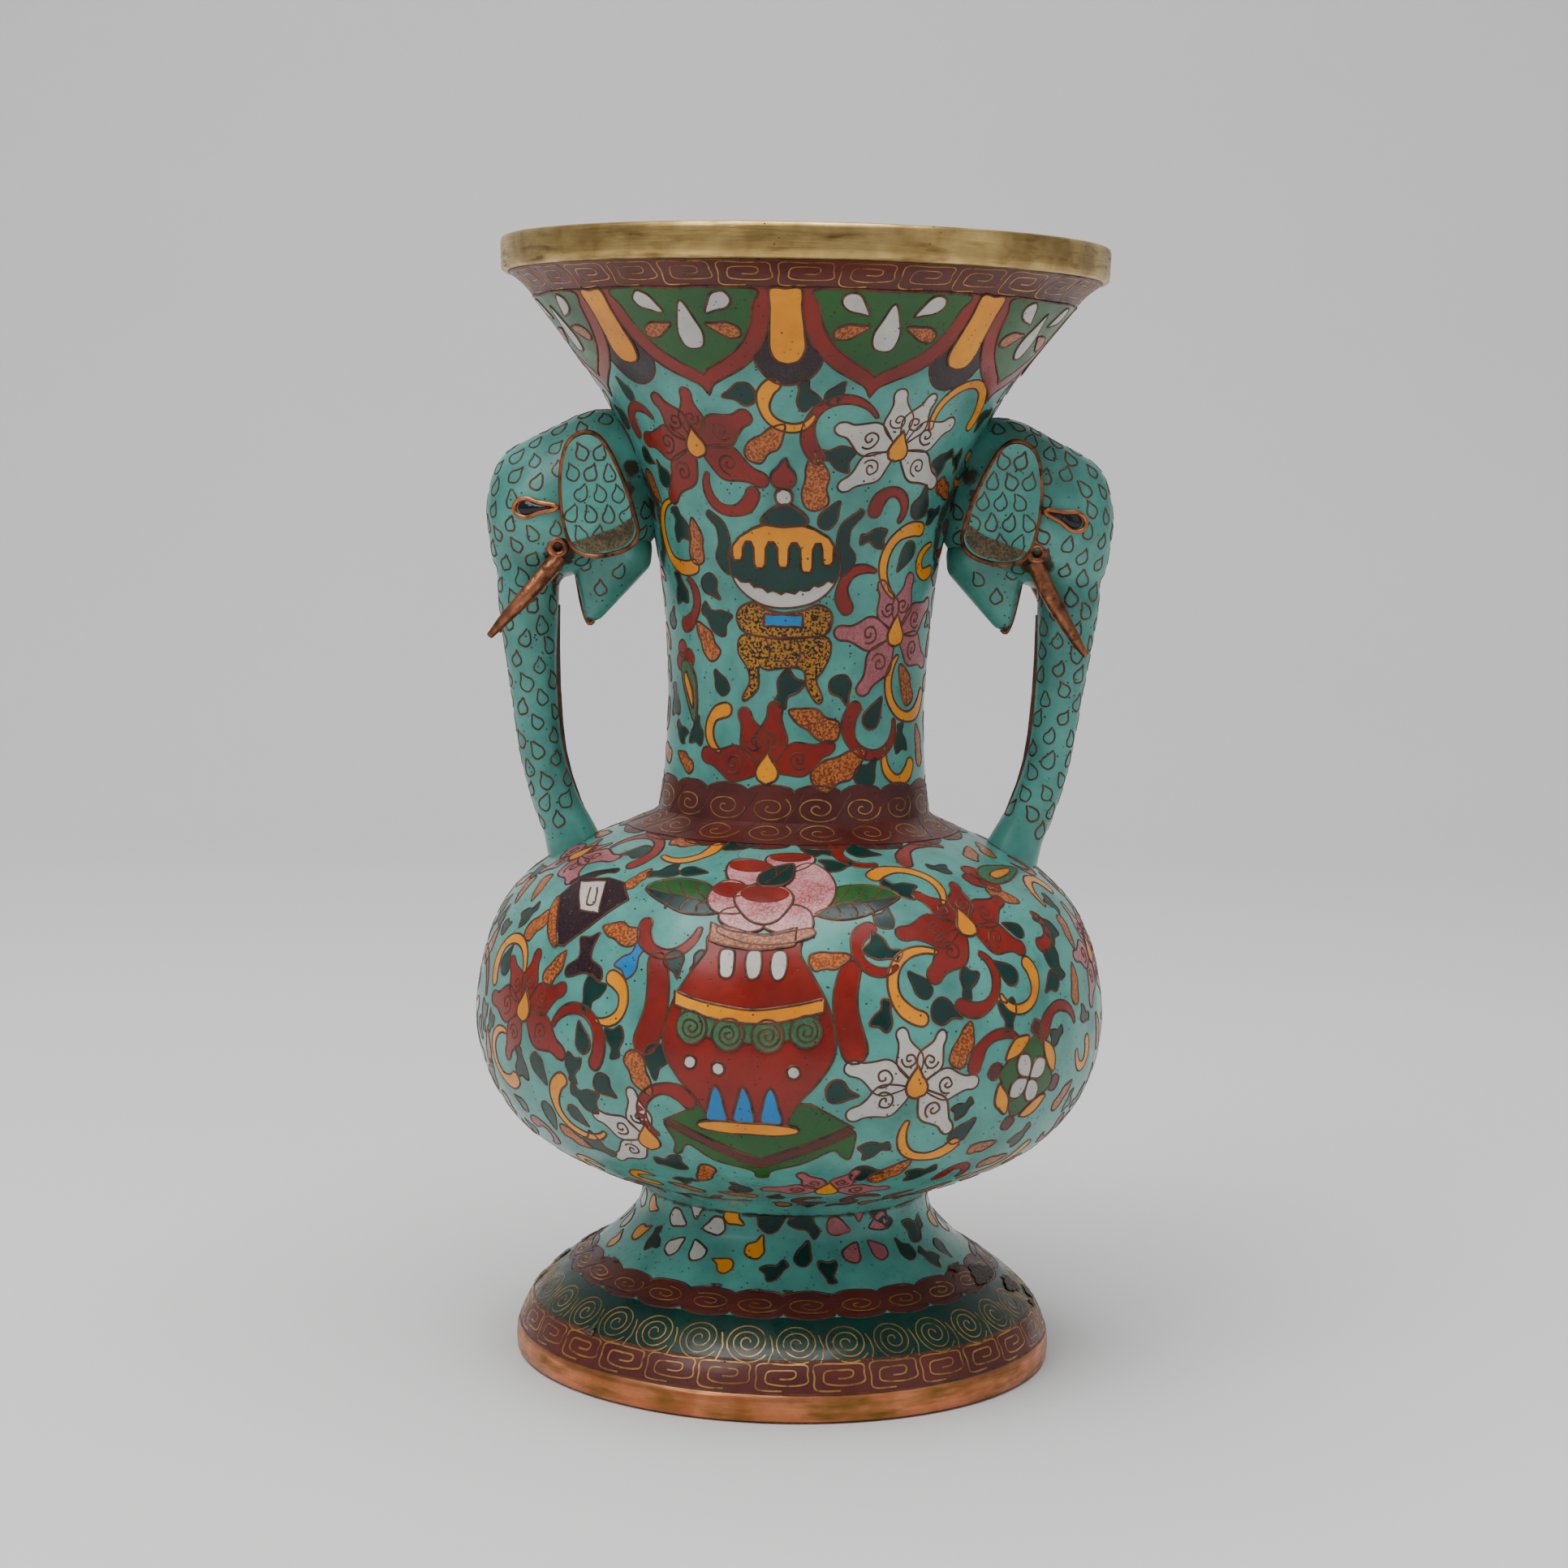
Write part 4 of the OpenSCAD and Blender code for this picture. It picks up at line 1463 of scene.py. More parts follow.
# ---- what is drawn where: angles in degrees and heights in millimetres --------------------------


def hooks(colour: Colour, *rows: tuple[float, ...]) -> tuple[Hook, ...]:
    """Stems of one colour from rows of start, middle and end, two numbers each."""
    return tuple(Hook(r[0:2], r[2:4], r[4:6], colour) for r in rows)


def leaves(*rows: tuple[float, ...]) -> tuple[Leaf, ...]:
    """Dark leaves from rows of angle, height and turn, their shapes and sizes taking turns."""
    kinds = (LeafShape.COMMA, LeafShape.FIN, LeafShape.DROP, LeafShape.FIN)
    sizes = (7.6, 7.0, 6.4, 7.8, 6.2)
    return tuple(Leaf(a, h, t, sizes[k % 5], Colour.DEEP, kinds[k % 4], k % 3 == 1)
                 for k, (a, h, t) in enumerate(rows))


def blades(*rows: tuple[float, ...]) -> tuple[Leaf, ...]:
    """Goldstone leaves from rows of angle, height, turn and length."""
    return tuple(Leaf(a, h, turn, 1.3 * length, Colour.GOLDSTONE, LeafShape.BLADE)
                 for a, h, turn, length in rows)


NECK: tuple[Motif, ...] = (
    *hooks(Colour.YELLOW, (3, 211.5, -11, 213, -8, 218), (43, 210, 58, 218, 61, 211),
           (-55, 193, -65, 183, -47, 179), (42, 173.5, 36, 183.5, 52, 188),
           (-35, 139, -40, 145, -32, 148), (48, 160, 54, 147, 73, 151), (43, 140, 50, 133, 60, 136)),
    *hooks(Colour.RED, (22, 212, 2, 210, 5, 203), (-34, 199, -29, 191.6, -17, 195),
           (-52, 211, -60, 213, -64, 208), (39, 190, 33, 196, 28, 192), (31, 179, 18, 176, 20, 171),
           (-51, 176, -47, 171.5, -56, 166), (48, 146, 26, 141, 26, 149)),
    *leaves((-18, 216, 180), (1, 216, 110), (9, 216.5, 60), (11, 203, 170), (-56, 199, 120),
            (-52, 188, 100), (11, 191, 60), (54, 203, 45), (49, 194, 80), (29, 186, 180),
            (46, 182, -120), (-58, 174, 100), (-38, 174.5, -60), (-37, 168, 150), (-35, 154, 120),
            (-4, 153, -120), (20, 153, -60), (-49, 143, 90), (36, 148, 60), (53, 142, 95),
            (33, 135, 45), (-68, 149, 100), (-59, 217, 110)),
    *blades((-11, 206, 45, 9), (5, 198, 95, 10), (-44, 184.5, 90, 8), (-42, 163, 125, 7.5),
            (8, 146, 155, 9.5), (20, 136, 32, 11), (-56, 136, 150, 5.5), (56, 154, 120, 8),
            (70, 140, 105, 7.5)),
    Lotus(-36, 205, Colour.RED, ((84, 14), (27, 17), (-28, 17.5), (-131, 17), (175, 17.5), (125, 15))),
    Lotus(32, 205, Colour.WHITE, ((105, 15), (69, 14.5), (27, 16), (-30, 16), (-142, 15), (162, 16.5))),
    Lotus(46, 165, Colour.PINK, ((117, 13.5), (77, 14), (26, 16), (-26, 16.5), (-125, 16), (178, 16))),
    Lotus(-12, 135, Colour.RED, ((114, 15), (84, 15.5), (23, 16), (169, 17))),
    Pod(-54, 152, 20, 15),
    Censer(-6, 180),
)

BELLY: tuple[Motif, ...] = (
    *hooks(Colour.YELLOW, (-38, 117, -29, 117, -25, 119.4), (-35, 85, -30, 90, -33, 94),
           (-36, 60, -46, 63, -43, 71), (-56, 92, -65, 97, -68, 88), (34, 110, 28, 116, 20, 115),
           (64, 107, 70, 111.5, 75, 109), (27, 101, 18, 94.5, 23, 88), (40, 91, 48, 90, 48, 97),
           (21, 66, 24, 58, 32, 60), (43, 49, 50, 50, 56, 55.5), (-60, 78, -66, 71, -58, 68)),
    *hooks(Colour.RED, (-62, 117, -46, 119, -44, 115), (-18, 105, -27, 101, -29, 105),
           (-45, 82.5, -36, 85, -35, 76), (-24, 62, -23, 72, -17, 70), (23, 117, 14, 118, 16, 120.5),
           (53, 119, 37, 119, 32, 117), (19, 98.5, 12, 103, 15, 106), (37, 100, 38, 91, 31, 90),
           (43, 82, 37, 83, 33, 77), (61, 83, 55, 87, 50, 82), (57, 106, 58, 102, 54, 100)),
    *leaves((-49, 117, 200), (-33, 114.5, 210), (-25, 115, 0), (-17, 120, 0), (-21, 98, -60),
            (-37, 90, -110), (-38, 81, 110), (-31, 81, -80), (-23, 78, -100), (-40, 74, -100),
            (-49, 72, -60), (-55, 72, 90), (-33, 71, -45), (-38, 68, 160), (-41, 63, -45),
            (-39, 56.5, -45), (-64, 93, 80), (-63, 103, 45), (-50, 61, -100), (7, 119, 0),
            (22, 119, -30), (12, 117, 10), (32, 120, -20), (17, 102, -30), (19, 108, 60),
            (25, 113, 150), (23, 95, 130), (33, 94.5, -110), (28, 89, -10), (16, 89, 70),
            (42, 96, 140), (41, 87, -90), (54, 92, 200), (57, 96, -70), (48, 104, 150),
            (59, 103, 120), (9, 73, -20), (16, 60, 20), (33, 63, 50), (50, 59, 60), (16, 54, 10),
            (28, 53, 20)),
    *blades((-37, 119.5, 0, 6), (-38, 113, 80, 6), (-57, 102, 55, 8), (-34, 103, 170, 8),
            (-47, 94, 60, 7), (-26, 75, -60, 8), (-45, 57, -30, 7), (52, 110, -35, 7),
            (7, 100, 10, 7), (31, 82, 65, 8), (63, 90.5, 80, 7), (21, 54, 45, 8), (40, 58, 10, 6)),
    Leaf(-30, 98, 60, 7, Colour.BLUE, LeafShape.FIN),
    Lotus(-54, 84, Colour.RED, ((85, 13.5), (27, 15), (-28, 17), (-121, 14), (180, 17), (134, 14))),
    Lotus(36, 105.5, Colour.RED, ((72, 13), (22, 16), (-26, 16.5), (-138, 17.5), (183, 17.5), (129, 13))),
    Lotus(22, 74, Colour.WHITE, ((107, 13), (61, 13), (0, 15), (-50, 15), (-156, 16), (163, 16.5))),
    Lotus(-26, 60, Colour.WHITE, ((100, 13), (157, 14), (-144, 13.5))),
    Lotus(-70, 114.5, Colour.PINK, ((8, 16), (-31, 16), (-127, 11), (58, 8), (120, 8), (178, 14))),
    Lotus(77, 95, Colour.PINK, ((100, 13), (52, 14), (0, 14), (-52, 14), (-128, 14), (176, 14))),
    Lotus(9, 49, Colour.PINK, ((130, 11), (60, 11), (0, 14), (180, 14))),
    Pod(60, 113.5, 95, 19),
    Emblem(-43, 107),
    Coin(46, 73),
    Peony(-5, 112),
    Table(-5, 65),
    Jar(-7, 85),
)

FLANK: tuple[Motif, ...] = (
    Lotus(92, 72, Colour.WHITE, ((90, 14), (38, 15), (-14, 15), (-66, 14), (-118, 14), (194, 15), (142, 15))),
    *hooks(Colour.RED, (78, 62, 84, 54, 92, 56), (108, 84, 101, 92, 94, 88)),
    *hooks(Colour.YELLOW, (104, 58, 98, 50, 90, 51), (80, 80, 88, 88, 86, 94)),
    *leaves((84, 103, 80), (99, 101, -60), (76, 68, 120), (108, 66, 40), (100, 110, 160),
            (80, 52, 20), (99, 46, -20), (86, 46, 30)),
    *blades((104, 94, 60, 8), (75, 78, 110, 7), (110, 72, 80, 7)),
)

FOOT: tuple[Motif, ...] = (
    DotFlower(-37, 32.6, Colour.WHITE), DotFlower(30, 33.4, Colour.PINK), DotFlower(92, 33, Colour.WHITE),
    Leaf(-63, 29.5, 30, 6, Colour.YELLOW), Leaf(-20, 36.5, -40, 5.4, Colour.YELLOW),
    Leaf(-10, 31, 60, 6, Colour.YELLOW), Leaf(-21, 27.5, 150, 5.4, Colour.YELLOW),
    Leaf(-64, 35, -20, 5.4, Colour.YELLOW), Leaf(79, 32, 40, 6, Colour.YELLOW),
    *leaves((-4, 37, 20), (8, 36, -40), (7, 30, 70), (59, 32, 10), (47, 29, 120), (41, 37, -60)),
    Chip(72, 20.8, 12, 5.4), Chip(80, 17, 7.5, 4.6), Chip(63, 23.4, 5, 2.2), Chip(87, 13.6, 5, 4),
    Chip(-8, 23.4, 3.4, 0.8), Chip(-20, 23.8, 2.6, 0.9), Chip(1, 23.4, 2.2, 0.8),
    Chip(13, 22.9, 3, 0.7), Chip(-47, 12.6, 2.6, 2.2),
    Chip(-62, 23.6, 2.8, 1), Chip(36, 23.2, 2.2, 0.8), Chip(82, 12.5, 3, 2.4),
)


# ---- the turned body --------------------------------------------------------------------------


def lathe(name: str, profile: Sequence[Point], finish: Enamel | Metal, *nodes: str,
          segments: int = 256) -> bpy.types.Object:
    """Turns a closed profile about the vase's axis.

    Args:
        name: the piece's name.
        profile: (radius, height) corners, anticlockwise.
        finish: what it is made of.
        *nodes: the CAD nodes that it stands for.
        segments: facets round the axis.

    Returns:
        The piece.
    """
    out = Mesher()
    a = np.arange(segments) * math.tau / segments
    out.grid([np.column_stack((r * np.sin(a), -r * np.cos(a), np.full(segments, z))) * MM
              for r, z in profile], closed=True, looped=True)
    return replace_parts(out.piece(name, finish, 50), *nodes)


LEAFY = (LeafShape.COMMA, LeafShape.FIN, LeafShape.FIN)
SCROLLS = (Filler(5.2, 900, 6.8, (Colour.RED, Colour.YELLOW)),
           Filler(4.3, 1000, 8.4, (Colour.GOLDSTONE,), (LeafShape.BLADE,)),
           Filler(3.9, 1600, 6.8, (Colour.DEEP,), LEAFY),
           Filler(3.0, 2600, 5.2, (Colour.DEEP,), LEAFY))
SPRIGS = (Filler(4.2, 500, 5.6, (Colour.YELLOW, Colour.DEEP), (LeafShape.COMMA,)),
          Filler(3.9, 700, 5.8, (Colour.DEEP,), LEAFY))


@dataclass(frozen=True)
class Section:
    """One section of the body: its enamel ground, its bands, its motifs, its lining."""

    name: str
    outline: tuple[Point, ...]
    nodes: tuple[str, ...]              # the CAD nodes of its enamel
    linings: tuple[str, ...]            # the CAD nodes of its counter-enamel
    wires: tuple[str, ...]              # the CAD nodes of its border wires
    bands: tuple = ()
    motifs: tuple[Motif, ...] = ()
    scattered: Point = (0, 0)           # the heights that the fillers lie between
    fillers: tuple[Filler, ...] = ()
    copper_mm: float = 0.8
    enamel_mm: float = 0.9

    def build(self) -> None:
        """Builds the section from its ground outwards."""
        surface = Turned(self.outline)
        self.coat(surface, f"{self.name}_ground", 0.0, self.enamel_mm - BASE, Colour.TURQUOISE.value,
                  self.nodes, 1.2, 320)
        deep = self.enamel_mm + self.copper_mm + BASE
        self.coat(surface, f"{self.name}_inside", -deep, 0.35, LINING, self.linings, 2.4, 192)
        inlay = Inlay(self.name, surface, 7 + len(self.name))
        for band in self.bands:
            band.draw(inlay)
        for shift in (0, 180):
            for motif in self.motifs:
                motif.draw(inlay, shift)
        for filler in self.fillers:
            inlay.scatter(*self.scattered, filler)
        dark = inlay.finish()[0]
        if self.wires:
            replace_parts(dark, *self.wires)

    def coat(self, surface: Turned, name: str, lift: float, thick: float, finish: Enamel,
             nodes: tuple[str, ...], pitch: float, segments: int) -> None:
        """Builds one coat of glass as a closed skin.

        Args:
            surface: the outside of the section.
            name: the piece's name.
            lift: how far its outside lies from that surface, in millimetres.
            thick: its thickness.
            finish: its enamel.
            nodes: the CAD nodes that it stands for.
            pitch: the height of one row of its faces.
            segments: facets round the axis.
        """
        a = np.arange(segments) * math.tau / segments
        marks = np.linspace(0, surface.s[-1], math.ceil(surface.s[-1] / pitch))
        rows = []
        for s, k in [(s, 0) for s in marks] + [(s, 1) for s in marks[::-2]]:     # outside, then inside
            r, z = np.interp(s, surface.s, surface.r), np.interp(s, surface.s, surface.z)
            rows.append(surface.at(a, s, np.full(segments, r), np.full(segments, z), lift - k * thick))
        out = Mesher()
        out.grid(rows, closed=True, looped=True)
        piece = out.piece(name, finish, 80)
        # the mask of grime and painted shade: thin lines at the joints between sections, a ring round where
        # each head meets the neck, and a patch where each trunk meets the shoulder
        mask = piece.data.attributes.new("grime_and_shade", "FLOAT", "POINT")
        for k, vertex in enumerate(piece.data.vertices):
            x, y, z = abs(vertex.co.x) / MM, abs(vertex.co.y) / MM, vertex.co.z / MM
            near = max(*(0.7 - abs(z - joint) / 1.6 for joint in (37.6, 124, 242.6, 6.6)),
                       1 - abs(math.dist((x, y, z), (31, 0, 190)) - 13) / 3,
                       1.1 - math.dist((x, y, z), (49, 0, 117)) / 9)
            mask.data[k].value = min(1.0, max(0.0, near))
        if nodes:
            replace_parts(piece, *nodes)


# ---- the elephants ------------------------------------------------------------------------------


class Skin:
    """The outside of a finished mesh, as something to lay wires on. Heights run down its middle line."""

    def __init__(self, piece: bpy.types.Object, middle: Sequence[Point], side: int) -> None:
        """Reads the mesh.

        Args:
            piece: the object, on the +X side.
            middle: (x, z) points of its middle line, from the top down.
            side: -1 to mirror what is laid to the -X side.
        """
        mesh = piece.data
        points = [v.co / MM for v in mesh.vertices]
        self.tree = BVHTree.FromPolygons(points, [tuple(p.vertices) for p in mesh.polygons])
        self.middle = curve(middle, step=0.5)
        steps = np.linalg.norm(np.diff(self.middle, axis=0), axis=1)
        self.s = np.concatenate(([0], np.cumsum(steps)))
        self.side = side

    def seat(self, angle: float, s: float) -> tuple[Vector, Vector] | None:
        """The place and normal where a ray from the middle line leaves the mesh.

        Args:
            angle: degrees round the line, 0 away from the vase and 90 to the front.
            s: distance down the line.

        Returns:
            The place and the normal, or None where the ray meets nothing.
        """
        x, z = (np.interp(s, self.s, self.middle[:, k]) for k in (0, 1))
        ahead = [np.interp(s + 0.5, self.s, self.middle[:, k]) for k in (0, 1)]
        run = Vector((ahead[0] - x, 0, ahead[1] - z)).normalized()
        out = Vector((-run.z, 0, run.x))
        a = math.radians(angle)
        hit = self.tree.ray_cast(Vector((x, 0, z)), out * math.cos(a) + Vector((0, -math.sin(a), 0)))
        return None if hit[0] is None else (hit[0], hit[1])

    def lay(self, spot: Spot, xy: np.ndarray, lift: float) -> np.ndarray:
        """Puts a motif's points on the mesh, from the plane that touches it at the spot.

        Args:
            spot: where the motif lies.
            xy: its points.
            lift: how far above the surface they are, in millimetres.

        Returns:
            Their places, in metres.
        """
        at, normal = self.seat(spot.angle, spot.height)
        up = (Vector((0, 0, 1)) - normal * normal.z).normalized()
        right = up.cross(normal)
        out = []
        for x, y in spot.turned(xy):
            near, facing, _, _ = self.tree.find_nearest(at + right * x + up * y)
            out.append(near + (facing * 0.5 + normal * 0.5) * lift)
        return np.array([tuple(p) for p in out]) * (self.side, 1, 1) * MM


@dataclass(frozen=True)
class Flank:
    """A flat frame on one flank of a head. Angles and heights of its spots are millimetres."""

    x: float
    z: float
    out: float                      # distance from the handle's plane
    turn: float
    side: int
    face: int                       # 1 in front, -1 behind
    cup: float = 0.0

    @property
    def turned_over(self) -> bool:
        """Whether the frame is mirrored."""
        return self.side * self.face < 0

    def place(self, points: np.ndarray) -> np.ndarray:
        """Puts points in the vase's frame.

        Args:
            points: their (x, y, out) in the frame.

        Returns:
            Their places, in metres.
        """
        x, y, z = points.T
        z = z + self.cup * ((x / 9) ** 2 * 0.7 + (y / 13) ** 2) - 0.4 * self.cup
        a = math.radians(self.turn)
        return np.column_stack((self.side * (self.x + x * math.cos(a) + z * math.sin(a)),
                                self.face * (-self.out + x * math.sin(a) - z * math.cos(a)),
                                self.z + y)) * MM

    def lay(self, spot: Spot, xy: np.ndarray, lift: float) -> np.ndarray:
        """Places of a motif's points."""
        xy = spot.turned(xy) + (spot.angle, spot.height)
        return self.place(np.column_stack((xy, np.full(len(xy), lift))))


SCALE = curve([(-0.1, 2.7), (-0.75, 1.3), (-1.6, -0.1), (-1.5, -1.3), (-0.6, -2.1), (0.6, -2.0),
               (1.5, -1.2), (1.55, 0), (0.85, 1.2), (0.2, 2.3)], step=0.5)


@dataclass(frozen=True)
class Elephant:
    """One handle: an elephant's head whose trunk comes down to the vase's shoulder."""

    word: str
    side: int
    eye_tilt: float
    tusk: tuple[tuple[float, float, float, float], ...]     # (x, out, z, share of the full radius)
    half_wide: float = 13.0
    trunk_r: float = 5.0
    lumps: tuple = ((55.5, 190, 15), (59, 195.2, 10.5), (44, 199, 14), (42, 190, 11), (60.5, 182, 9))
    trunk: tuple = ((60.7, 179, 1.36), (60.8, 174, 1.38), (60.6, 169, 1.3), (60, 160, 1.19),
                    (59.2, 151, 1.09), (58.2, 142, 1.03), (57.2, 136, 1), (55.8, 130.5, 1),
                    (53.4, 123.6, 1.02), (51.2, 118.8, 1.08), (49.2, 113.4, 1.3))
    ear: tuple = ((8.4, 5), (7.9, -4), (5.4, -11), (0.6, -13), (-6.4, -11.6), (-9.4, -8.6),
                  (-8.8, -4.4), (-5.6, 4), (-1.4, 11.8), (2.4, 14), (6.6, 11.8))
    eye: tuple = ((4.9, 0), (4.1, 1.6), (1.6, 2.2), (-1.6, 1.2), (-5.6, 0.5), (-5.6, -0.5), (-1.6, -1.2),
                  (1.6, -2.2), (4.1, -1.6))
    ear_at: tuple = (44.4, 193.6, 14.6, 14)                 # x, z, out and turn
    eye_at: tuple = (58.4, 190.8, 10.9, 18)
    # x, y, z and reach of the spots of grime and painted shade in the crevices where parts meet
    grime_and_shade: tuple = ((47, 12, 181, 5.5), (52.6, 10, 180.4, 5), (53, 0, 174, 6), (50, 0, 117, 6),
                    (36.5, 12, 200, 3.6), (37.5, 12, 195, 3), (38, 12, 186, 3.6), (47, 0, 164, 3.4))

    def build(self) -> None:
        """Builds the head, then what is set on it."""
        head = self.head()
        middle = ((38, 200), (48, 195), (56, 188), (60, 178), *[(x, z) for x, z, _ in self.trunk[1:]])
        skin = Skin(head, middle, self.side)
        self.finished(head, f"{self.word}_head", SKIN, f"{self.word}_head_enamel")
        inlay = Inlay(f"{self.word}_head", skin, 5 + self.side)
        self.scales(inlay, skin)
        inlay.finish()
        self.jaw()
        for face, where in ((1, "front"), (-1, "back")):
            self.set_ear(face, f"{self.word}_{where}_ear")
            self.set_eye(face, f"{self.word}_{where}_eye")
            self.set_tusk(face, f"{self.word}_{where}_tusk")

    def hull(self, balls: Iterable[tuple[float, float, float, float]], voxel: float, name: str,
             extra: Mesher | None = None) -> bpy.types.Object:
        """A smooth solid stretched over balls.

        Args:
            balls: x, z, radius and half width of each, in millimetres.
            voxel: the size of its grain, in millimetres.
            name: the object's name.
            extra: another mesh to melt into it.

        Returns:
            The object.
        """
        bpy.ops.object.select_all(action="DESELECT")
        made = []
        for x, z, r, wide in balls:
            bpy.ops.mesh.primitive_uv_sphere_add(segments=28, ring_count=14, radius=r * MM,
                                                 location=(x * MM, 0, z * MM))
            ball = bpy.context.object
            ball.scale = (1, wide / r, 1)
            made.append(ball)
        for ball in made:
            ball.select_set(True)
        bpy.context.view_layer.objects.active = made[0]
        bpy.ops.object.join()
        bpy.ops.object.transform_apply()
        bpy.ops.object.mode_set(mode="EDIT")
        bpy.ops.mesh.select_all(action="SELECT")
        bpy.ops.mesh.convex_hull()
        bpy.ops.object.mode_set(mode="OBJECT")
        piece = bpy.context.object
        if extra is not None:
            mesh = bpy.data.meshes.new("extra")
            mesh.from_pydata(np.concatenate(extra.points).tolist(), [], extra.faces)
            more = bpy.data.objects.new("extra", mesh)
            bpy.context.scene.collection.objects.link(more)
            more.select_set(True)
            bpy.ops.object.join()
        piece.name = name
        remesh = piece.modifiers.new("Remesh", "REMESH")
        remesh.mode = "VOXEL"
        remesh.voxel_size = voxel * MM
        smooth = piece.modifiers.new("Smooth", "SMOOTH")
        smooth.factor = 0.5
        smooth.iterations = 9
        for modifier in ("Remesh", "Smooth"):
            bpy.ops.object.modifier_apply(modifier=modifier)
        return piece

    def head(self) -> bpy.types.Object:
        """Builds the head and the trunk in one skin, on the +X side.

        Returns:
            The object.
        """
        balls = [(x, z, r, self.half_wide * r / 15) for x, z, r in self.lumps]
        path = curve([(x, 0, z) for x, z, _ in self.trunk], step=1.0)
        shares = curve([(k, share) for k, (_, _, share) in enumerate(self.trunk)], step=0.1)[:, 1]
        return self.hull(balls, 0.7, f"{self.word}_head",
                         tube(path, [1.02 * share * self.trunk_r for share in shares], 24))

    def finished(self, piece: bpy.types.Object, name: str, finish: Enamel | Metal, *nodes: str) -> None:
        """Fits a piece to the vase on its own side and dresses it.

        Args:
            piece: the object, on the +X side.
            name: its name.
            finish: what it is made of.
            *nodes: the CAD nodes that it stands for.
        """
        piece.name = name
        radii, heights = zip(*BELLY_LINE[6:], *NECK_LINE[1:])
        for vertex in piece.data.vertices:
            least = (np.interp(vertex.co.z / MM, heights, radii) - HEAD_SINK) * MM
            reach = math.hypot(vertex.co.x, vertex.co.y)
            if reach < least:
                vertex.co.x, vertex.co.y = vertex.co.x * least / reach, vertex.co.y * least / reach
        if self.side < 0:
            for vertex in piece.data.vertices:
                vertex.co.x = -vertex.co.x
            piece.data.flip_normals()
        self.soil_and_shade(piece)
        settle(piece, finish, 80)
        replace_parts(piece, *nodes)

    def soil_and_shade(self, piece: bpy.types.Object) -> None:
        """Marks where grime and painted shade lie: by the ear, round the tusk's root and where the trunk
        meets the vase.

        Args:
            piece: the object to mark.
        """
        mask = piece.data.attributes.new("grime_and_shade", "FLOAT", "POINT")
        for k, vertex in enumerate(piece.data.vertices):
            x, y, z = abs(vertex.co.x) / MM, abs(vertex.co.y) / MM, vertex.co.z / MM
            near = max(1 - math.dist((x, y, z), p[:3]) / p[3] for p in self.grime_and_shade)
            mask.data[k].value = min(1.0, max(0.0, near * 1.8))

    def scales(self, inlay: Inlay, skin: Skin) -> None:
        """Lays the teardrop wires down the head and the trunk, as close as their size allows.

        Args:
            inlay: what they are laid into.
            skin: the head's outside.
        """
        pick, laid = inlay.random, []
        for s in np.arange(0.6, skin.s[-1] - 8, 0.9):
            for angle in np.arange(0, 360, 9) + 4.5 * pick.random():
                found = skin.seat(angle, s)
                if found is None or not self.clear(*found):
                    continue
                if any((found[0] - at).length < SCALE_GAP for at in laid):
                    continue
                laid.append(found[0])
                inlay.wire(Spot(angle, s, pick.uniform(-35, 35), pick.uniform(0.76, 0.96), self.side < 0),
                           SCALE, width=SCALE_W)

    def clear(self, at: Vector, normal: Vector) -> bool:
        """Tells whether a scale may lie at a place, away from ears, eyes, jaw, seam and the vase.

        Args:
            at: the place.
            normal: the skin's normal there.

        Returns:
            Whether it may.
        """
        x, y, z = at.x, abs(at.y), at.z
        in_ear = y > 8 and x < 53.4 and z > 179
        in_eye = y > 6 and math.dist((x, z), (self.eye_at[0] - 0.2, self.eye_at[1])) < 5.6
        in_jaw = z > 160 and normal.z < -0.8
        at_vase = math.hypot(x, y) < 35 or (z < 172 and normal.x < -0.85)
        return not (in_ear or in_eye or in_jaw or at_vase)

    def jaw(self) -> None:
        """Builds the lower jaw with its copper edge."""
        piece = self.hull(((38, 182, 5, 7.5), (36.4, 179.4, 3.2, 4.4), (48.4, 178.4, 2.4, 4.8),
                           (47, 165.9, 0.9, 0.9), (44.9, 166.6, 0.9, 0.9)), 0.45,
                          f"{self.word}_jaw_enamel")
        skin = Skin(piece, ((43.5, 181), (45, 170)), self.side)
        self.finished(piece, f"{self.word}_jaw_enamel", SKIN, f"{self.word}_jaw")
        inlay = Inlay(f"{self.word}_jaw", skin, 3)
        for face in (90, -90):
            for s, aside in ((3, -40), (3.6, 36), (8, 4)):
                inlay.wire(Spot(face + aside, s, 0.6 * aside, 0.82, self.side < 0), SCALE, width=SCALE_W)
        inlay.finish()
        path = curve([(50.4, 0, 178.6), (49.4, 0, 173), (48.2, 0, 167.6), (47, 0, 164.9), (45.9, 0, 165.6)],
                     step=0.6)
        self.solid(tube(path, (0.5, 0.55, 0.5), 10), f"{self.word}_jaw_edge", COPPER)

    def solid(self, mesher: Mesher, name: str, finish: Enamel | Metal, *nodes: str, face: int = 1,
              sharp: float = 60) -> bpy.types.Object:
        """Makes a piece drawn on the +X, front side on its own side instead.

        Args:
            mesher: its mesh.
            name: its name.
            finish: what it is made of.
            *nodes: the CAD nodes that it stands for.
            face: 1 in front, -1 behind.
            sharp: edges over this many degrees stay sharp.

        Returns:
            The object.
        """
        mesher.points = [p * (self.side, face, 1) for p in mesher.points]
        if self.side * face < 0:
            mesher.faces = [f[::-1] for f in mesher.faces]
        piece = mesher.piece(name, finish, sharp)
        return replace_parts(piece, *nodes) if nodes else piece

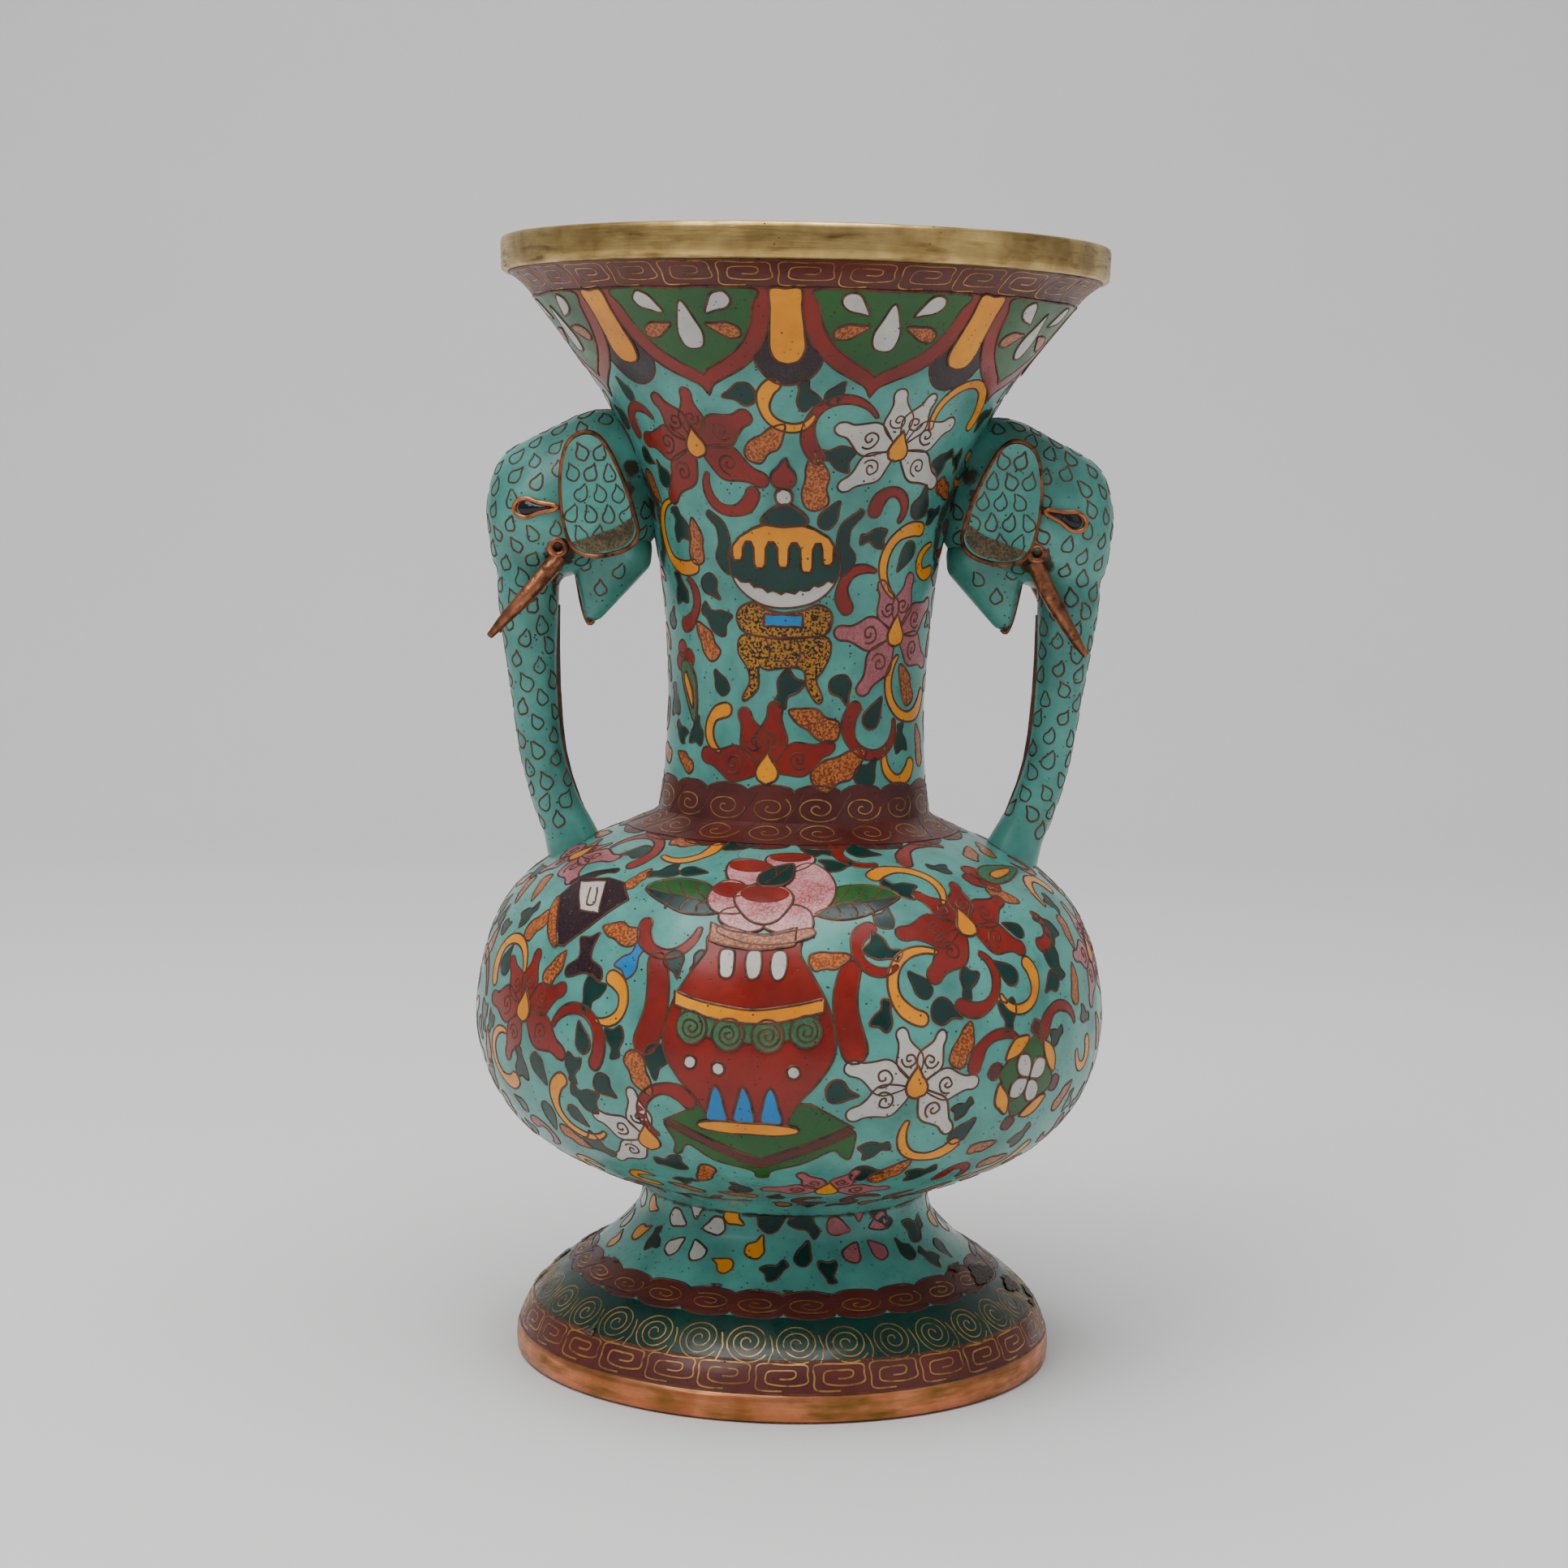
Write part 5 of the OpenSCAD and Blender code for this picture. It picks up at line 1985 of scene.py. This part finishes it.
    @staticmethod
    def loop(flank: Flank, outline: np.ndarray, lift: float, radius: float, sides: int = 10) -> Mesher:
        """Bends a round wire along a closed outline.

        Args:
            flank: what it lies on.
            outline: its middle line.
            lift: how far above the flank that line is.
            radius: the wire's radius.
            sides: points round the wire.

        Returns:
            The mesh so far.
        """
        run = np.roll(outline, -1, 0) - np.roll(outline, 1, 0)
        run /= np.linalg.norm(run, axis=1)[:, None]
        side = np.column_stack((-run[:, 1], run[:, 0]))
        rows = []
        for k in range(sides + 1):
            a = -math.tau * k / sides
            out = np.full(len(outline), lift - radius * math.sin(a))
            rows.append(flank.place(np.column_stack((outline - side * radius * math.cos(a), out))))
        mesher = Mesher()
        mesher.grid(rows[::-1] if flank.turned_over else rows, closed=True)
        return mesher

    @staticmethod
    def plate(flank: Flank, outline: np.ndarray, low: float, high: float, dome: float = 0.0) -> Mesher:
        """Cuts a plate to an outline.

        Args:
            flank: what it lies on.
            outline: its outline.
            low: how far above the flank its back is.
            high: how far its face is at the edge.
            dome: how much further its face is in the middle.

        Returns:
            The mesh so far.
        """
        points, faces = fill(outline, 1.2)
        n = len(outline)
        gap = np.linalg.norm(points[:, None] - outline[None], axis=2).min(axis=1)
        rise = high + dome * np.sqrt(np.clip(gap / max(gap.max(), 0.1), 0, 1))
        out = Mesher()
        count = len(points)
        both = np.column_stack((np.tile(points, (2, 1)), np.concatenate((rise, np.full(count, low)))))
        walls = [(i + count, (i + 1) % n + count, (i + 1) % n, i) for i in range(n)]
        every = [*faces, *[tuple(i + count for i in f[::-1]) for f in faces], *walls]
        if flank.turned_over:
            every = [tuple(f)[::-1] for f in every]
        out.add(flank.place(both), every)
        return out

    def set_ear(self, face: int, name: str) -> None:
        """Builds an ear with its copper rim and its scales.

        Args:
            face: 1 in front, -1 behind.
            name: the CAD node's name, which its pieces' names start with.
        """
        flank = Flank(*self.ear_at, self.side, face, 0.9)
        outline = anticlockwise(curve(self.ear, closed=True, step=0.8))
        piece = self.plate(flank, outline * 0.96, 0.1, 1.1).piece(f"{name}_plate", SKIN)
        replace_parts(piece, name)
        rim = self.loop(flank, outline, 0.7, 0.55).piece(f"{name}_rim", COPPER)
        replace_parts(rim, f"{name}_wire")
        inlay = Inlay(name, flank, 11 + face)
        inner = outline * 0.8
        for j, y in enumerate(np.arange(-8.4, 13.5, 4.5)):
            for x in np.arange(-9, 9, 4.2) + (2.1 if j % 2 else 0):
                turn = 25 * math.sin(x * 2 + y)
                if holds(inner, np.array([(x, y)]))[0]:
                    inlay.wire(Spot(x, y, turn, 0.86, flank.turned_over), SCALE, layer=10,
                               width=SCALE_W)
        grime_and_shade = curve([(5.4, -10.4), (3, -9.4), (-1, -8), (-5, -6.4), (-8, -4.6), (-8.8, -7.4),
                       (-6.4, -10.6), (-2, -11.8), (1, -12.2)], closed=True)
        self.bare(inlay, flank, anticlockwise(grime_and_shade))
        inlay.finish()

    @staticmethod
    def bare(inlay: Inlay, flank: Flank, outline: np.ndarray) -> None:
        """Lays a patch of bare cement along the bottom of an ear.

        Args:
            inlay: what it is laid into.
            flank: the ear's frame.
            outline: its outline.
        """
        points, faces = fill(outline, 1.2)
        mesher = inlay.cells.setdefault(Colour.CEMENT, Mesher())
        rough = 1.32 + 0.18 * np.sin(2.3 * points[:, 0]) * np.cos(1.9 * points[:, 1])
        mesher.add(flank.place(np.column_stack((points, rough))),
                   [f[::-1] for f in faces] if flank.turned_over else faces)

    def set_eye(self, face: int, name: str) -> None:
        """Builds an eye: a bezel of thick wire round a glass bead.

        Args:
            face: 1 in front, -1 behind.
            name: the CAD node's name, which its pieces' names start with.
        """
        flank = Flank(*self.eye_at, self.side, face)
        outline = rotated(anticlockwise(curve(self.eye, closed=True, step=0.5)), -self.eye_tilt)
        bezel = self.plate(flank, outline, -0.6, 1.7).piece(f"{name}_bezel", COPPER)
        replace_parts(bezel, f"{name}_wire")
        self.loop(flank, outline * 0.93, 1.75, 0.5).piece(f"{name}_edge", EYE_WIRE)
        bead = self.plate(flank, outline * 0.72, 1.2, 1.9, 0.7).piece(f"{name}_bead", EYE)
        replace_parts(bead, name)

    def set_tusk(self, face: int, name: str) -> None:
        """Builds a tusk and the collar that it stands in.

        Args:
            face: 1 in front, -1 behind.
            name: the CAD node's name, which its pieces' names start with.
        """
        path = curve([(x, -y, z) for x, y, z, _ in self.tusk], step=0.7)
        shares = curve([(k, share) for k, (*_, share) in enumerate(self.tusk)], step=0.1)[:, 1]
        self.solid(tube(path, [1.85 * s for s in shares], 16), f"{name}_horn", TUSK, name, face=face)
        x, y, z, _ = self.tusk[0]
        ring = np.arange(32) * math.tau / 32
        circle_xz = 1.7 * np.column_stack((np.cos(ring), np.zeros(32), np.sin(ring)))
        collar = Mesher()
        turns = [(circle_xz * (1 + 0.47 * math.cos(b)) + (x + 0.2, 0.8 * math.sin(b) - y - 1.2, z + 2.2)) * MM
                 for b in np.arange(13) * math.tau / 12]
        collar.grid(turns, closed=True)
        self.solid(collar, f"{name}_ring", TUSK, f"{name}_collar", face=face)


# ---- the whole vase, and where it stands -------------------------------------------------------


FOOT_LINE = ((60.4, 6), (57.5, 12), (51, 18), (42, 24), (36.2, 29.2), (33.4, 33), (32.4, 37.6))
BELLY_LINE = ((32.4, 37.6), (36.6, 41.2), (44.8, 44), (53.8, 48.4), (60.7, 53.4), (66.6, 61), (70, 69.5),
              (71, 78), (69.9, 88), (67.3, 97.5), (62.8, 105), (56.2, 111.2), (47, 116.2),
              (38.6, 119.8), (32.6, 122.4), (30.5, 124))
NECK_LINE = ((30.5, 124), (29.6, 131), (28.9, 146), (29.3, 160), (30.5, 173), (33.2, 188), (37.8, 203),
             (44, 215.5), (51.4, 226.2), (59.6, 236.7), (62.8, 240.3), (66, 242.6))


@dataclass(frozen=True)
class Vase:
    """The whole vase."""

    sections: tuple[Section, ...] = (
        Section("foot", FOOT_LINE, ("foot_enamel",), (), ("foot_band_wire", "foot_ring_wire"),
                (FretBand(6.2, 12.4, 30, 0.26), SpiralBand(12.4, 19.5, 32),
                 CloudBand(20, 22.5, 26, 1.5, 1.1)), FOOT, (23.5, 37.4), SPRIGS),
        Section("belly", BELLY_LINE, ("belly_enamel",), ("belly_dome_lining", "belly_bowl_lining"),
                ("shoulder_band_wire",), (CloudBand(120.2, 124, 18, 0, 1.5),),
                BELLY + FLANK, (40, 121), SCROLLS),
        Section("neck", NECK_LINE, ("neck_enamel",), ("neck_lining",),
                ("lip_wire", "mouth_band_wire", "neck_band_wire"),
                (CloudBand(124, 130.4, 18, 1.5), FretBand(237.1, 242.5, 31, 0.2),
                 Lappets(237.1, 8, -4)), NECK, (131, 224), SCROLLS),
    )
    elephants: tuple[Elephant, ...] = (
        Elephant("left", -1, 2, ((53.2, 9.9, 180, 1), (56.2, 10.9, 176.2, 1.06), (60.2, 11.6, 171.4, 1),
                                 (64.2, 11.2, 167, 0.86), (67, 10.4, 163.8, 0.66), (68.4, 9.8, 162.2, 0.42))),
        Elephant("right", 1, 17, ((52.2, 10, 181, 1), (54.2, 10.9, 176.8, 1.06), (57.2, 11.6, 171.2, 1),
                                  (60.4, 11.2, 166.2, 0.86), (62.8, 10.4, 162.6, 0.66),
                                  (64.2, 9.8, 160.8, 0.42))),
    )
    mouth_band: tuple[Point, ...] = (
        (64, 242.6), (66.9, 242.6), (67.4, 243), (67.55, 244.6), (67.7, 248.8), (67.5, 249.7), (67, 250),
        (63.8, 250), (63.2, 249.7), (63.3, 249.3), (64, 249))
    foot_band: tuple[Point, ...] = (
        (57.6, 0), (60.2, 0), (60.8, 0.5), (61, 2.4), (60.9, 4.6), (60.5, 5.8), (60.2, 6.1), (59.3, 6),
        (59.3, 0.9), (57.6, 0.7))

    def build(self) -> None:
        """Builds the sections, the two metal rings and the handles, then dresses what CAD shows."""
        for section in self.sections:
            section.build()
        lathe("mouth_band", self.mouth_band, BRASS, "mouth_ring")
        lathe("foot_band", self.foot_band, COPPER_RING, "foot_ring")
        for elephant in self.elephants:
            elephant.build()
        for name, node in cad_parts.items():
            if not node.hide_render:
                Paint.dress(node, LINING if "lining" in name else DARK_WIRE if "seam" in name else COPPER)
                log.info("%s: CAD node kept", name)


@dataclass(frozen=True)
class Studio:
    """A pale sweep of paper, soft lamps and the camera."""

    paper: RGB = (214, 214, 212)
    camera_at: tuple = (-0.0023, -0.6827, 0.2011)
    camera_down: float = 5.99           # degrees that the camera looks down
    camera_roll: float = 1.24
    lens_mm: float = 69.54
    sky: float = 0.31

    def sweep(self) -> None:
        """The floor, which curves up behind the vase into a backdrop."""
        bend = [(math.sin(a) * 0.6, 0.6 - 0.6 * math.cos(a)) for a in np.radians(np.arange(0, 91, 6))]
        line = [(-3.0, 0), (0.9, 0), *[(0.9 + y, z) for y, z in bend], (1.5, 3.4)]
        out = Mesher()
        out.grid([np.array([(4 * side, y, z - 0.0002) for side in (-1, 1)]) for y, z in line])
        floor = out.raw("paper_sweep")
        smooth(floor, 60)
        floor.data.materials.append(self.matt())

    def matt(self) -> bpy.types.Material:
        """Builds matt paper.

        Returns:
            The material.
        """
        sh = Shader("paper")
        shade = sh.steps(sh.noise(400, 2), ((0.3, 0.97), (0.7, 1.0)))
        colour = sh.blend(1.0, linear(self.paper), shade, "MULTIPLY")
        rough = sh.steps(sh.noise(40, 2), ((0.3, 0.85), (0.7, 0.95)))
        return sh.shine(colour, rough, sh.noise(1, 2), 0.01)

    def lamps(self) -> None:
        """Big soft lamps above, to the left and to the right, and an even grey sky."""
        for name, place, size, power in (("key", (-1.0, -1.2, 1.6), 1.0, 14),
                                         ("fill", (1.5, -0.9, 0.9), 1.3, 3),
                                         ("top", (-0.1, -0.2, 1.7), 1.3, 38)):
            lamp = bpy.data.lights.new(name, "AREA")
            lamp.size, lamp.energy = size, power
            holder = bpy.data.objects.new(name, lamp)
            bpy.context.scene.collection.objects.link(holder)
            holder.location = place
            holder.rotation_mode = "QUATERNION"
            holder.rotation_quaternion = (Vector((0, 0, 0.13)) - Vector(place)).to_track_quat("-Z", "Y")
        world = bpy.data.worlds.new("sky")
        world.use_nodes = True
        background = world.node_tree.nodes["Background"]
        background.inputs[0].default_value = (0.9, 0.95, 1.0, 1)
        background.inputs[1].default_value = self.sky
        bpy.context.scene.world = world

    def camera(self) -> None:
        """The camera, level with the neck and looking a little down."""
        data = bpy.data.cameras.new("camera")
        data.lens, data.sensor_width = self.lens_mm, 36
        data.clip_start, data.clip_end = 0.05, 20
        holder = bpy.data.objects.new("camera", data)
        bpy.context.scene.collection.objects.link(holder)
        holder.matrix_world = (Matrix.Translation(self.camera_at)
                               @ Matrix.Rotation(math.radians(90 - self.camera_down), 4, "X")
                               @ Matrix.Rotation(math.radians(self.camera_roll), 4, "Z"))
        bpy.context.scene.camera = holder


def main() -> None:
    """Builds the vase and its studio."""
    logging.basicConfig(level=logging.INFO, format="%(name)s: %(message)s")
    Vase().build()
    studio = Studio()
    studio.sweep()
    studio.lamps()
    studio.camera()


if __name__ == "__main__":
    main()
